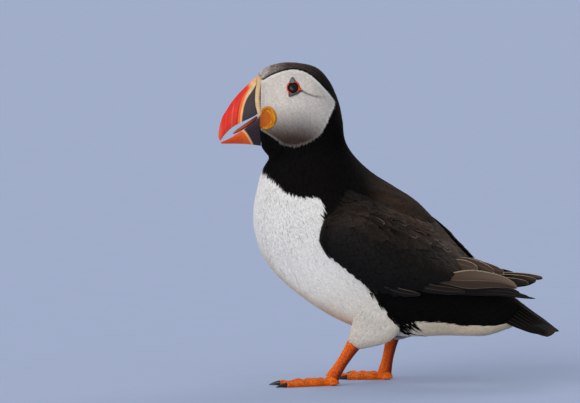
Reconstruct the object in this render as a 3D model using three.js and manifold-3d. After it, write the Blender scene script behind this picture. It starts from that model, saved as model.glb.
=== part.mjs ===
// Atlantic puffin in summer plumage, standing, life size. Millimetres, +Z up.
// It faces -X with its left side towards -Y, and its soles stand on z = 0.
// The midplane of the trunk is y = 0, and the head is turned a little to the bird's left.

import * as THREE from "three";
import { mergeVertices } from "three/addons/utils/BufferGeometryUtils.js";
import Module from "manifold-3d";

const wasm = await Module();
wasm.setup();

// ---------------------------------------------------------------- driving dimensions

const GAP = 0.3;                  // clearance between pieces that touch

const HEAD_TURN = THREE.MathUtils.degToRad(8);
const TURN_AXIS_X = -56;          // the upright line that the head turns about
const TURN_LOW = 130;             // the neck starts to turn at this level ...
const TURN_HIGH = 170;            // ... and the head is fully turned above this one
const NECK_LEAN = 0.31;           // slope of those levels, which follow the neck's rings

// Body stations from the bill's root to the rump: the back line and the belly line as
// [x, z], then half the width and the pear shape (positive is wider towards the belly).
const STATIONS = [
  { back: [-85.5, 205.0], belly: [-85.5, 155.0], half: 9.8, pear: 0.12 },
  { back: [-82.4, 208.2], belly: [-84.0, 153.0], half: 15.0, pear: 0.16 },
  { back: [-73.0, 211.0], belly: [-82.0, 150.5], half: 19.5, pear: 0.20 },
  { back: [-61.0, 211.0], belly: [-80.7, 149.0], half: 22.3, pear: 0.22 },
  { back: [-49.5, 207.0], belly: [-80.5, 147.3], half: 23.3, pear: 0.22 },
  { back: [-41.5, 198.5], belly: [-81.3, 146.0], half: 23.0, pear: 0.20 },
  { back: [-35.5, 186.5], belly: [-82.8, 144.0], half: 22.0, pear: 0.16 },
  { back: [-32.2, 173.0], belly: [-84.3, 141.5], half: 21.5, pear: 0.12 },
  { back: [-30.4, 160.5], belly: [-86.3, 137.0], half: 23.0, pear: 0.08 },
  { back: [-24.5, 149.5], belly: [-88.5, 127.5], half: 30.0, pear: 0.05 },
  { back: [-12.0, 139.8], belly: [-90.5, 114.0], half: 38.5, pear: 0.03 },
  { back: [2.0, 131.0], belly: [-88.8, 96.5], half: 44.0, pear: 0.00 },
  { back: [17.0, 120.5], belly: [-79.0, 75.5], half: 45.0, pear: -0.02 },
  { back: [32.0, 105.0], belly: [-56.0, 53.0], half: 42.5, pear: -0.04 },
  { back: [46.0, 91.5], belly: [-26.0, 37.8], half: 36.5, pear: -0.05 },
  { back: [58.5, 78.5], belly: [7.0, 31.6], half: 28.5, pear: -0.05 },
  { back: [70.0, 68.5], belly: [38.0, 31.4], half: 20.5, pear: -0.03 },
  { back: [80.5, 60.5], belly: [63.0, 32.0], half: 16.0, pear: 0.00 },
  { back: [90.0, 53.5], belly: [82.0, 39.0], half: 10.0, pear: 0.00 },
];
const SQUARENESS = 2.25;          // exponent of the body's oval sections, 2 is an ellipse
const HEAD_CUT = 7.1;             // station where the head ends and the neck starts
const NECK_CUT = 9.9;             // station where the neck ends and the trunk starts
const BODY_RINGS = 38;
const BODY_SIDES = 28;

// The eye's lean is its upward tilt in radians.
const EYE = { x: -63.3, z: 196, radius: 4.8, opening: 3.5, proud: 0.25, lean: 0.46 };

const UPPER_PLATE = [[-65.6, 199.2], [-61.6, 199.2], [-62.4, 203.2], [-64.9, 203.2]];   // as [x, z]
const LOWER_PLATE = [[-66.2, 192.4], [-66.5, 190.6], [-58.8, 193.2], [-59.2, 194.8]];
const PLATE_PROUD = { upper: 1.4, lower: 1.5 };
const PLATE_ROOT = 4;             // how far an uncut plate reaches into the face

const ROSETTE = {
  fold: [
    [-84.2, 177.8], [-82.2, 180.4], [-79.6, 181.2], [-76.8, 179.4], [-75.8, 175.8], [-77.4, 172],
    [-81, 169.8]],
  steps: 10,
  radius: 1.5,
  proud: 0.6,
};

const BILL = {
  upper: [                        // culmen and cutting edge as [x, z], then half width
    { top: [-88.7, 201.8], edge: [-88.7, 176.7], half: 8.2 },
    { top: [-92.7, 197.1], edge: [-91.5, 175.2], half: 7.6 },
    { top: [-97.0, 193.0], edge: [-95.0, 173.5], half: 6.9 },
    { top: [-101.1, 188.9], edge: [-98.3, 172.0], half: 6.1 },
    { top: [-105.2, 184.5], edge: [-101.7, 170.2], half: 5.2 },
    { top: [-108.5, 180.2], edge: [-104.5, 168.5], half: 4.4 },
    { top: [-111.3, 175.5], edge: [-107.0, 166.5], half: 3.6 },
    { top: [-113.0, 170.5], edge: [-109.2, 164.3], half: 2.8 },
    { top: [-114.0, 165.5], edge: [-111.0, 162.0], half: 2.1 },
    { top: [-114.1, 161.8], edge: [-112.1, 160.2], half: 1.4 },
    { top: [-113.4, 159.6], edge: [-112.7, 159.2], half: 0.8 },
  ],
  lower: [                        // keel and cutting edge as [x, z], then half width
    { top: [-86.1, 156.0], edge: [-86.1, 175.2], half: 7.6 },
    { top: [-92.5, 156.8], edge: [-92.5, 170.5], half: 6.6 },
    { top: [-97.0, 157.2], edge: [-97.0, 167.0], half: 5.7 },
    { top: [-101.5, 157.3], edge: [-102.0, 163.8], half: 4.6 },
    { top: [-105.5, 157.3], edge: [-106.0, 161.2], half: 3.4 },
    { top: [-109.5, 157.3], edge: [-110.0, 159.3], half: 2.0 },
    { top: [-112.2, 157.3], edge: [-112.5, 158.4], half: 0.9 },
  ],
  rim: { back: -85.9, front: -88.4, proud: 0.8 },
};

// Folded wing stations from the bend to the tip: the upper edge, the crest of the outer
// face and the lower edge as [x, distance from the midplane, z], then the depth inwards.
const WING = [
  { top: [-37, 42.5, 106.0], crest: [-38.5, 45.0, 102.0], low: [-39, 44.0, 98.5], depth: 6 },
  { top: [-32, 43.0, 114.0], crest: [-35.0, 49.0, 104.0], low: [-36.5, 46.5, 93.0], depth: 11 },
  { top: [-22, 41.5, 120.5], crest: [-27.0, 50.5, 104.0], low: [-30.5, 47.5, 86.0], depth: 13 },
  { top: [-7, 34.5, 124.0], crest: [-13.0, 51.0, 102.0], low: [-19.5, 48.0, 77.0], depth: 14 },
  { top: [10, 25.5, 120.5], crest: [2.0, 50.0, 96.0], low: [-5.0, 46.5, 66.0], depth: 14 },
  { top: [25, 13.5, 112.5], crest: [17.5, 46.5, 88.0], low: [11.0, 43.0, 60.0], depth: 13 },
  { top: [37, 9.5, 103.5], crest: [32.0, 42.0, 81.0], low: [27.0, 38.5, 59.5], depth: 13 },
  { top: [47, 8.5, 93.5], crest: [45.0, 37.0, 76.0], low: [42.0, 35.0, 59.5], depth: 12 },
  { top: [57, 9.0, 84.0], crest: [56.5, 33.0, 73.0], low: [56.0, 31.5, 60.0], depth: 9 },
  { top: [67, 14.0, 79.5], crest: [69.0, 29.5, 71.0], low: [69.5, 28.5, 60.5], depth: 5 },
  { top: [80, 19.5, 73.5], crest: [81.0, 27.2, 69.0], low: [82.0, 26.5, 61.0], depth: 3.5 },
  { top: [91, 23.5, 67.3], crest: [91.5, 25.7, 65.0], low: [92.5, 25.0, 60.0], depth: 2.6 },
  { top: [101, 24.5, 61.7], crest: [101.5, 25.2, 60.7], low: [102, 25.0, 59.5], depth: 1.6 },
];
const WING_CUT = 57;              // coverts in front of this x, flight feathers behind it
const WING_RINGS = 23;

// The right wing's tip is carried a little higher and closer than the left one's.
const TIP_LIFT = { left: 0, right: 9 };
const TIP_SHORTEN = { left: 0, right: 3 };
const TIP_FROM_X = 50;

const TAIL = [                    // ridge height, half width, thickness, droop of the edges
  { x: 83, ridge: 58.5, half: 10, thick: 16, droop: 3 },
  { x: 90, ridge: 53.5, half: 14, thick: 10, droop: 5 },
  { x: 97, ridge: 48.5, half: 18, thick: 6, droop: 4.6 },
  { x: 103, ridge: 44.5, half: 20, thick: 3.2, droop: 3.6 },
  { x: 108, ridge: 40.5, half: 19, thick: 1.8, droop: 2.0 },
  { x: 111.5, ridge: 37.8, half: 15, thick: 1.4, droop: 1.2 },
  { x: 113, ridge: 36.6, half: 9, thick: 1.1, droop: 0.8 },
];

const LEGS = {
  left: { side: -1, hip: [-6, 18, 54], knee: [-10.5, 20, 40], ankle: [-19.5, 22, 27], toe: [-34.5, 24, 3.4] },
  right: { side: 1, hip: [9, 18, 54], knee: [4.5, 20, 41.5], ankle: [-2, 21.5, 29], toe: [-8, 24, 3.4] },
};
const THIGH_RADII = [14.5, 11.5, 5];
const SHANK = { deep: 3.9, wide: 2.7 };
const FOOT_TURN = THREE.MathUtils.degToRad(10);
const TOES = {
  inner: { spread: -28, length: 25 },
  middle: { spread: 0, length: 33 },
  outer: { spread: 27, length: 32 },
};
const TOE_RADIUS = { root: 2.9, tip: 1.9 };
const HEEL_RADIUS = 4.6;
const WEB_THICK = 1.2;
const FOOT_ROOM = { across: 30, top: 5.35 };   // the heel pad's height and the gap over it
const CLAW = { length: 7.5, root: 1.7, tip: 0.35 };

const COLOURS = {
  crown: 0x4a4340,
  black: 0x17120f,
  brownBlack: 0x2a211c,
  white: 0xe6e2dc,
  face: 0xc9c5c1,
  billRed: 0xe8401c,
  billRim: 0xe2cda0,
  billLower: 0xc0561c,
  rosette: 0xe0920c,
  tongue: 0xd88a5a,
  eye: 0x120c0a,
  plate: 0x36404a,
  leg: 0xe0600f,
  claw: 0x1b1614,
};

// ---------------------------------------------------------------- solids

/** A closed body through rings of equal point counts, capped at both ends. */
function loft(rings) {
  const sides = rings[0].length;
  const positions = rings.flat().flatMap((point) => [point.x, point.y, point.z]);
  const index = [];
  for (let ring = 0; ring < rings.length - 1; ring += 1) {
    for (let side = 0; side < sides; side += 1) {
      const a = ring * sides + side;
      const b = ring * sides + (side + 1) % sides;
      index.push(a, b, b + sides, a, b + sides, a + sides);
    }
  }
  const caps = [{ ring: 0, turn: 1 }, { ring: rings.length - 1, turn: -1 }];
  for (const { ring, turn } of caps) {
    const centre = new THREE.Vector3();
    rings[ring].forEach((point) => centre.addScaledVector(point, 1 / sides));
    const hub = positions.length / 3;
    positions.push(centre.x, centre.y, centre.z);
    for (let side = 0; side < sides; side += 1) {
      const here = ring * sides + side;
      const next = ring * sides + (side + 1) % sides;
      index.push(hub, ...(turn > 0 ? [next, here] : [here, next]));
    }
  }
  const geometry = new THREE.BufferGeometry();
  geometry.setAttribute("position", new THREE.Float32BufferAttribute(positions, 3));
  geometry.setIndex(index);
  return solidFrom(geometry);
}

/** Six times the signed volume of an indexed geometry. */
function signedVolume(geometry) {
  const corners = [new THREE.Vector3(), new THREE.Vector3(), new THREE.Vector3()];
  const index = geometry.index.array;
  let sum = 0;
  for (let start = 0; start < index.length; start += 3) {
    corners.forEach((corner, k) => {
      corner.fromBufferAttribute(geometry.attributes.position, index[start + k]);
    });
    sum += corners[0].dot(corners[1].clone().cross(corners[2]));
  }
  return sum;
}

/** A manifold solid from a closed geometry, with its faces turned outwards. */
function solidFrom(geometry) {
  const bare = geometry.clone();
  bare.deleteAttribute("normal");
  bare.deleteAttribute("uv");
  const merged = mergeVertices(bare, 1e-4);
  const triVerts = Uint32Array.from(merged.index.array);
  if (signedVolume(merged) < 0) {
    for (let start = 0; start < triVerts.length; start += 3) {
      [triVerts[start + 1], triVerts[start + 2]] = [triVerts[start + 2], triVerts[start + 1]];
    }
  }
  const vertProperties = Float32Array.from(merged.attributes.position.array);
  return new wasm.Manifold(new wasm.Mesh({ numProp: 3, vertProperties, triVerts }));
}

/** A round or oval body along a path, with a radius or a pair of them for each point. */
function taperedTube(path, radii, sides = 12) {
  const rings = path.map((centre, step) => {
    const before = path[Math.max(step - 1, 0)];
    const after = path[Math.min(step + 1, path.length - 1)];
    const along = after.clone().sub(before).normalize();
    const across = new THREE.Vector3(0, 1, 0).cross(along).normalize();
    const over = along.clone().cross(across);
    const [deep, wide = deep] = [radii[step]].flat();
    return Array.from({ length: sides }, (_, side) => {
      const angle = (2 * Math.PI * side) / sides;
      return centre.clone()
        .addScaledVector(across, deep * Math.cos(angle))
        .addScaledVector(over, wide * Math.sin(angle));
    });
  });
  return loft(rings);
}

const pieces = [];

/** Keeps a finished solid as a named mesh. */
function addPiece(name, solid, color, roughness = 0.85) {
  const { vertProperties, triVerts } = solid.getMesh();
  const geometry = new THREE.BufferGeometry();
  geometry.setAttribute("position", new THREE.Float32BufferAttribute(vertProperties, 3));
  geometry.setIndex(new THREE.Uint32BufferAttribute(triVerts, 1));
  geometry.computeVertexNormals();
  const material = new THREE.MeshStandardMaterial({ color, roughness, metalness: 0 });
  const mesh = new THREE.Mesh(geometry, material);
  mesh.name = name;
  pieces.push(mesh);
}

// ---------------------------------------------------------------- head, neck and trunk

const flatCurve = (pick) => new THREE.SplineCurve(STATIONS.map((s) => new THREE.Vector2(...pick(s))));
const backLine = flatCurve((station) => station.back);
const bellyLine = flatCurve((station) => station.belly);
const girthLine = flatCurve((station) => [station.half, station.pear]);
const LAST_STATION = STATIONS.length - 1;

/** Turns a point of the head and neck about the neck's upright axis. */
function turnHead(point) {
  const level = point.z - NECK_LEAN * point.x;
  const share = THREE.MathUtils.smoothstep(level, TURN_LOW, TURN_HIGH);
  const axis = new THREE.Vector3(TURN_AXIS_X, 0, 0);
  return point.sub(axis).applyAxisAngle(new THREE.Vector3(0, 0, 1), HEAD_TURN * share).add(axis);
}

/** The oval at a station: its middle, its direction up to the back, and its half sizes. */
function oval(station) {
  const share = station / LAST_STATION;
  const back = backLine.getPoint(share);
  const belly = bellyLine.getPoint(share);
  const girth = girthLine.getPoint(share);
  const up = back.clone().sub(belly);
  const high = up.length() / 2;
  const middle = back.add(belly).multiplyScalar(0.5);
  return { middle, up: up.normalize(), high, half: girth.x, pear: girth.y };
}

/** Power used to square an oval off, keeping the sign. */
const squared = (value) => Math.sign(value) * Math.abs(value) ** (2 / SQUARENESS);

/** The ring of body points at a station, grown outwards by a margin. */
function bodyRing(station, margin = 0) {
  const { middle, up, high, half, pear } = oval(station);
  return Array.from({ length: BODY_SIDES }, (_, side) => {
    const angle = (2 * Math.PI * side) / BODY_SIDES;
    const height = squared(Math.cos(angle));
    const along = (high + margin) * height;
    const out = (half + margin) * squared(Math.sin(angle)) * (1 - pear * height);
    return turnHead(new THREE.Vector3(middle.x + up.x * along, out, middle.y + up.y * along));
  });
}

/** The whole body from the bill's root to the tail's root, grown by a margin. */
function bodySolid(margin = 0) {
  const stations = Array.from({ length: BODY_RINGS }, (_, k) => (LAST_STATION * k) / (BODY_RINGS - 1));
  return loft(stations.map((station) => bodyRing(station, margin)));
}

/** Distance from the midplane to the unturned body's side at a place [x, z]. */
function sideOfBody(x, z) {
  const place = new THREE.Vector2(x, z);
  const offset = (station) => {
    const { middle, up } = oval(station);
    return up.cross(place.clone().sub(middle));
  };
  let low = 0;
  let high = LAST_STATION;
  const sign = Math.sign(offset(low));
  for (let step = 0; step < 40; step += 1) {
    const trial = (low + high) / 2;
    if (Math.sign(offset(trial)) === sign) {
      low = trial;
    } else {
      high = trial;
    }
  }
  const { middle, up, high: reach, half, pear } = oval(low);
  const height = THREE.MathUtils.clamp(place.sub(middle).dot(up) / reach, -1, 1);
  const sine = Math.sqrt(1 - Math.abs(height) ** SQUARENESS);
  return half * squared(sine) * (1 - pear * height);
}

/** A cutting plane through a station's back and belly points, facing the rump. */
function stationPlane(station) {
  const { middle, up } = oval(station);
  const normal = new THREE.Vector3(up.y, 0, -up.x);
  return { normal, offset: normal.dot(new THREE.Vector3(middle.x, 0, middle.y)) };
}

/** The part of a solid on the tail side of a plane, or on the bill side if flipped. */
function keepBehind(solid, { normal, offset }, flip = false) {
  const sign = flip ? -1 : 1;
  return solid.trimByPlane(normal.clone().multiplyScalar(sign).toArray(), sign * offset + GAP / 2);
}

const wholeBody = bodySolid();
const grownBody = bodySolid(GAP + 0.1);
const headPlane = stationPlane(HEAD_CUT);
const neckPlane = stationPlane(NECK_CUT);

// ---------------------------------------------------------------- eyes and face

/** Mirrors [x, distance from the midplane, z] to a side and turns it with the head. */
const onHead = (x, out, z, side) => turnHead(new THREE.Vector3(x, side * out, z));

function eyeBall(side, radius) {
  const sunk = Math.sqrt(EYE.radius ** 2 - EYE.opening ** 2) - EYE.proud;
  const out = sideOfBody(EYE.x, EYE.z) - sunk * Math.cos(EYE.lean);
  const centre = onHead(EYE.x, out, EYE.z - sunk * Math.sin(EYE.lean), side);
  const ball = new THREE.SphereGeometry(radius, 16, 10).rotateX(Math.PI / 2);
  return solidFrom(ball.translate(...centre.toArray()));
}

/** A thin horny plate over the face's side, from its outline as [x, z] points. */
function facePlate(outline, side, proud) {
  const middle = [0, 1].map((axis) => outline.reduce((sum, place) => sum + place[axis], 0) / outline.length);
  const surface = sideOfBody(...middle);
  const ringAt = (depth) => outline.map(([x, z]) => onHead(x, surface + depth, z, side));
  const rings = [-PLATE_ROOT, proud].map(ringAt);
  return loft(rings).subtract(grownBody).subtract(eyeBall(side, EYE.radius + GAP));
}

/** The wrinkled fold of skin round the corner of the mouth, open towards the bill. */
function rosette(side) {
  const fold = new THREE.SplineCurve(ROSETTE.fold.map((point) => new THREE.Vector2(...point)));
  const path = fold.getPoints(ROSETTE.steps).map(({ x, y: z }) => (
    onHead(x, sideOfBody(x, z) + ROSETTE.proud, z, side)
  ));
  return taperedTube(path, path.map(() => ROSETTE.radius), 8).subtract(grownBody);
}

// ---------------------------------------------------------------- bill

/** A bill section: a rounded ridge at the top, swelling to a flat cutting face. */
function billRing({ top, edge, half }, proud = 0) {
  const steps = 7;
  const down = new THREE.Vector2(...edge).sub(new THREE.Vector2(...top));
  const stretch = 1 + (2 * proud) / down.length();
  const wall = (side) => Array.from({ length: steps }, (_, k) => {
    const share = (k + 0.5) / (steps - 0.5);
    const out = (half + proud) * Math.sin((Math.PI / 2) * share) ** 0.8;
    const drop = (share - 0.5) * stretch + 0.5;
    return turnHead(new THREE.Vector3(top[0] + down.x * drop, side * out, top[1] + down.y * drop));
  });
  return [...wall(-1), ...wall(1).reverse()];
}

/** The fleshy rim round the root of the upper bill. */
function billRim() {
  const { back, front, proud } = BILL.rim;
  const root = BILL.upper[0];
  const rings = [back, front].map((x) => {
    const rise = (x - front) * -0.75;
    return billRing({ top: [x, root.top[1] - rise], edge: [x, root.edge[1] + 0.6], half: root.half }, proud);
  });
  return loft(rings);
}

/** A slim tongue lying just above the lower bill. */
function tongue() {
  const path = [[-88.6, 174.9], [-93, 171.6], [-98, 168.2], [-102, 165.7], [-104.5, 164.1]];
  const radii = [[0.9, 3.2], [1.15, 3.2], [1.15, 2.6], [0.9, 1.7], [0.45, 0.6]];
  return taperedTube(path.map(([x, z]) => onHead(x, 0, z, 1)), radii);
}

// ---------------------------------------------------------------- wings and tail

/** A smooth curve through one edge of the wing stations, carried to a side. */
function wingCurve(edge, sideName) {
  const side = sideName === "left" ? -1 : 1;
  const tipX = WING[WING.length - 1].low[0];
  const points = WING.map((station) => {
    const [x, out, z] = station[edge];
    const share = THREE.MathUtils.clamp((x - TIP_FROM_X) / (tipX - TIP_FROM_X), 0, 1);
    const lift = TIP_LIFT[sideName] * share ** 3;
    return new THREE.Vector3(x - TIP_SHORTEN[sideName] * share, side * out, z + lift);
  });
  return new THREE.CatmullRomCurve3(points, false, "catmullrom", 0.5);
}

/** The folded wing as rings that run over its outer face and back through its inner one. */
function foldedWing(sideName) {
  const side = sideName === "left" ? -1 : 1;
  const [top, crest, low] = ["top", "crest", "low"].map((edge) => wingCurve(edge, sideName));
  const depths = new THREE.SplineCurve(WING.map(({ depth }, k) => new THREE.Vector2(k, depth)));
  const rings = Array.from({ length: WING_RINGS }, (_, k) => {
    const share = k / (WING_RINGS - 1);
    const [upper, middle, lower] = [top, crest, low].map((curve) => curve.getPoint(share));
    const bend = middle.clone().multiplyScalar(2).addScaledVector(upper, -0.5).addScaledVector(lower, -0.5);
    const sunk = bend.clone().setY(bend.y - side * 2 * depths.getPoint(share).y);
    const outer = new THREE.QuadraticBezierCurve3(upper, bend, lower).getPoints(9);
    const inner = new THREE.QuadraticBezierCurve3(lower, sunk, upper).getPoints(6);
    return [...outer, ...inner.slice(1, -1)];
  });
  return loft(rings).subtract(grownBody);
}

/** The roof-shaped fan of tail feathers. */
function tailSolid() {
  const sides = 18;
  const rings = TAIL.map(({ x, ridge, half, thick, droop }) => Array.from({ length: sides }, (_, side) => {
    const angle = (2 * Math.PI * side) / sides;
    const z = ridge - (thick / 2) * (1 - Math.cos(angle)) - droop * Math.sin(angle) ** 2;
    return new THREE.Vector3(x, half * Math.sin(angle), z);
  }));
  return loft(rings).subtract(grownBody);
}

// ---------------------------------------------------------------- legs and feet

/** A leg's joint as a point, from [x, distance from the midplane, z]. */
const legPoint = ([x, out, z], side) => new THREE.Vector3(x, side * out, z);

function shank({ side, ankle, toe }, margin = 0) {
  const low = legPoint(toe, side);
  const high = legPoint(ankle, side);
  const above = high.clone().add(high.clone().sub(low).setLength(3));
  const section = [SHANK.deep + margin, SHANK.wide + margin];
  const path = [above, high, high.clone().lerp(low, 0.35), high.clone().lerp(low, 0.75), low];
  const swell = [0.8, 1.18, 0.98, 0.96, 1.05];
  return taperedTube(path, swell.map((factor) => section.map((radius) => radius * factor)));
}

function thigh(leg) {
  const joints = [leg.hip, leg.knee, leg.ankle].map((joint) => legPoint(joint, leg.side));
  const path = new THREE.CatmullRomCurve3(joints).getPoints(5);
  const radii = new THREE.SplineCurve(THIGH_RADII.map((radius, k) => new THREE.Vector2(k, radius)));
  const sizes = path.map((_, k) => radii.getPoint(k / (path.length - 1)).y);
  return taperedTube(path, sizes, 18).subtract(grownBody).subtract(shank(leg, GAP));
}

/** Each toe's direction and end on the floor. */
function toeLine({ side, toe }, { spread, length }) {
  const heading = side * (-FOOT_TURN - THREE.MathUtils.degToRad(spread));
  const along = new THREE.Vector3(-Math.cos(heading), -Math.sin(heading), 0);
  const root = legPoint(toe, side).setZ(TOE_RADIUS.root * 0.7);
  const tip = root.clone().addScaledVector(along, length).setZ(TOE_RADIUS.tip * 0.7);
  return { root, tip, along };
}

/** A webbed foot with three toes, flat underneath. */
function foot(leg) {
  const lines = Object.values(TOES).map((toe) => toeLine(leg, toe));
  const heel = lines[0].root;
  const web = new THREE.Shape();
  web.moveTo(heel.x, heel.y);
  web.lineTo(lines[0].tip.x, lines[0].tip.y);
  lines.slice(1).forEach(({ tip }, k) => {
    const bay = lines[k].tip.clone().lerp(tip, 0.5).lerp(heel, 0.22);
    web.quadraticCurveTo(bay.x, bay.y, tip.x, tip.y);
  });
  const flat = new THREE.ExtrudeGeometry(web, { depth: WEB_THICK, bevelEnabled: false, curveSegments: 5 });
  const toes = lines.map(({ root, tip }) => taperedTube([root, tip], [TOE_RADIUS.root, TOE_RADIUS.tip], 10));
  const heelPad = new THREE.SphereGeometry(HEEL_RADIUS, 14, 10).scale(1, 0.85, 0.75);
  heelPad.translate(heel.x - 0.5, heel.y, 1.6);
  const whole = toes.reduce((sum, toe) => sum.add(toe), solidFrom(flat)).add(solidFrom(heelPad));
  return whole.trimByPlane([0, 0, 1], 0);
}

/** A short curved claw beyond the end of a toe. */
function claw(leg, toe) {
  const { tip, along } = toeLine(leg, toe);
  const arc = [0, 0.35, 0.7, 1];
  const path = arc.map((share) => tip.clone()
    .addScaledVector(along, GAP + 0.05 + CLAW.length * share)
    .setZ(CLAW.root + 0.25 * Math.sin(Math.PI * share) - (CLAW.root - CLAW.tip - 0.05) * share));
  const radii = arc.map((share) => THREE.MathUtils.lerp(CLAW.root, CLAW.tip, share ** 1.2));
  return taperedTube(path, radii, 8).trimByPlane([0, 0, 1], 0);
}

/** The room that the foot takes under the shank, which the shank stops short of. */
function footRoom(leg) {
  const heel = legPoint(leg.toe, leg.side);
  const block = new THREE.BoxGeometry(FOOT_ROOM.across, FOOT_ROOM.across, 2 * FOOT_ROOM.top);
  return solidFrom(block.translate(heel.x, heel.y, 0));
}

// ---------------------------------------------------------------- the bird

const SIDES = [["left", -1], ["right", 1]];
const eyeSockets = SIDES.map(([, side]) => eyeBall(side, EYE.radius + GAP));
const headSolid = keepBehind(wholeBody, headPlane, true);

addPiece("head", eyeSockets.reduce((rest, socket) => rest.subtract(socket), headSolid), COLOURS.face);
addPiece("neck", keepBehind(keepBehind(wholeBody, headPlane), neckPlane, true), COLOURS.black);
addPiece("trunk", keepBehind(wholeBody, neckPlane), COLOURS.white);
addPiece("tail", tailSolid(), COLOURS.brownBlack);
addPiece("bill_upper", loft(BILL.upper.map((section) => billRing(section))), COLOURS.billRed, 0.35);
addPiece("bill_lower", loft(BILL.lower.map((section) => billRing(section))), COLOURS.billLower, 0.35);
addPiece("bill_rim", billRim(), COLOURS.billRim, 0.6);
addPiece("tongue", tongue(), COLOURS.tongue, 0.5);

for (const [name, side] of SIDES) {
  const leg = LEGS[name];
  const wing = foldedWing(name);
  addPiece(`eye_${name}`, eyeBall(side, EYE.radius), COLOURS.eye, 0.1);
  addPiece(`eye_plate_upper_${name}`, facePlate(UPPER_PLATE, side, PLATE_PROUD.upper), COLOURS.plate, 0.6);
  addPiece(`eye_plate_lower_${name}`, facePlate(LOWER_PLATE, side, PLATE_PROUD.lower), COLOURS.plate, 0.6);
  addPiece(`rosette_${name}`, rosette(side), COLOURS.rosette, 0.6);
  addPiece(`wing_${name}`, wing.trimByPlane([-1, 0, 0], GAP / 2 - WING_CUT), COLOURS.brownBlack);
  addPiece(`flight_feathers_${name}`, wing.trimByPlane([1, 0, 0], GAP / 2 + WING_CUT), COLOURS.brownBlack);
  addPiece(`thigh_${name}`, thigh(leg), COLOURS.white);
  addPiece(`leg_${name}`, shank(leg).subtract(footRoom(leg)), COLOURS.leg, 0.55);
  addPiece(`foot_${name}`, foot(leg), COLOURS.leg, 0.6);
  for (const [toeName, toe] of Object.entries(TOES)) {
    addPiece(`claw_${toeName}_${name}`, claw(leg, toe), COLOURS.claw, 0.4);
  }
}

const puffin = new THREE.Group();
puffin.add(...pieces);
export default puffin;
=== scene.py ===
"""Atlantic puffin in summer plumage: a still, life-size museum model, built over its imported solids.

Shapes are worked out in millimetres in the solids' own frame: the bird faces -X, its left side
is towards -Y, +Z is up. Head and neck are worked out looking straight ahead, and turn_head then
turns them. Meshes are in metres.
"""

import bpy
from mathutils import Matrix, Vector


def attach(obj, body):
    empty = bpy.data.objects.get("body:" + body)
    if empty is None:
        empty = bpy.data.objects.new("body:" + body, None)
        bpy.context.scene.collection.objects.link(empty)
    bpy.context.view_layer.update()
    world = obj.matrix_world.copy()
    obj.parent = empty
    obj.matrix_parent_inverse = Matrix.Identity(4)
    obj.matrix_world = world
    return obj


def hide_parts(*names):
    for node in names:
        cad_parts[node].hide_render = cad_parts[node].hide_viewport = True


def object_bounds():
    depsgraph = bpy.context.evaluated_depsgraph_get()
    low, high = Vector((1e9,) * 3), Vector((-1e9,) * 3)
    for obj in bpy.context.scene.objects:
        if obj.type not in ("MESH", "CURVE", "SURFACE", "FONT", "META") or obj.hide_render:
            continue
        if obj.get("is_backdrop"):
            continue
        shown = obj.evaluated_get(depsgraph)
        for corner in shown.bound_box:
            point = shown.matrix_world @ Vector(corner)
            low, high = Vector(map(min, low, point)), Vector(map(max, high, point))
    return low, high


bl_info = {
    "name": "Atlantic Puffin Model",
    "version": (1, 0, 0),
    "blender": (4, 5, 0),
    "location": "View3D > Sidebar > Puffin",
    "description": "Builds the skin, plumage, bill, eyes, legs and stage of a life-size puffin",
    "category": "Add Mesh",
}

import math

import bpy
import numpy as np

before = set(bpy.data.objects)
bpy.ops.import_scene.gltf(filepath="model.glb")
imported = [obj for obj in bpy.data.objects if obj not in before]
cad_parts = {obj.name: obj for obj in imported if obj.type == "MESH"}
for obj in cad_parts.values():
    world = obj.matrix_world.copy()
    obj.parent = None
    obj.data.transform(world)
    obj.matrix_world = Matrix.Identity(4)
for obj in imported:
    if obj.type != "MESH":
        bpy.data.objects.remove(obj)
CAD_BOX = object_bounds()

MM = 0.001
SIDES = {"left": -1, "right": 1}


# ---------------- small maths

def tone(red, green, blue):
    """A display colour from 0 to 255 as linear light."""
    share = np.array([red, green, blue]) / 255
    return tuple(np.where(share < 0.04045, share / 12.92, ((share + 0.055) / 1.055) ** 2.4))


def smooth(value, low, high):
    """0 below low, 1 above high, and 3t^2 - 2t^3 between them."""
    t = np.clip((value - low) / (high - low), 0, 1)
    return t * t * (3 - 2 * t)


def bell(value, middle, width):
    """1 at the middle, falling as exp(-t^2) where t is the distance from it over the width."""
    return np.exp(-((value - middle) / width) ** 2)


def turns(count):
    """Angles of count even steps once round."""
    return np.linspace(0, 2 * np.pi, count, endpoint=False)


def mix(first, second, share):
    """first where share is 0 and second where it is 1."""
    return first + (second - first) * share


def unit(vectors):
    """Each vector over its own length."""
    return vectors / np.maximum(np.linalg.norm(vectors, axis=-1, keepdims=True), 1e-9)


def spline(table, place):
    """Uniform Catmull-Rom curve through the table's rows, its end rows repeated: place counts rows."""
    table = np.asarray(table, float)
    last = len(table) - 1
    place = np.clip(np.asarray(place, float), 0, last)
    row = np.minimum(place.astype(int), last - 1)
    t = (place - row)[..., None]
    before, start = table[np.maximum(row - 1, 0)], table[row]
    end, after = table[row + 1], table[np.minimum(row + 2, last)]
    square = 2 * before - 5 * start + 4 * end - after
    cube = 3 * start - before - 3 * end + after
    return 0.5 * (2 * start + (end - before) * t + square * t ** 2 + cube * t ** 3)


def pairs(*numbers):
    """Numbers two by two, as 2-D places."""
    return np.reshape(numbers, (-1, 2)).astype(float)


def curve(points, count, closed=False):
    """count points along a Catmull-Rom curve through the given ones."""
    points = np.asarray(points, float)
    if not closed:
        return spline(points, np.linspace(0, len(points) - 1, count))
    looped = np.concatenate([points[-2:], points, points[:3]])
    return spline(looped, np.linspace(2, 2 + len(points), count, endpoint=False))


def grid_of(first, second):
    """Every pair of two lists of numbers, as two flat lists."""
    return (part.ravel() for part in np.meshgrid(first, second, indexing="ij"))


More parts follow.
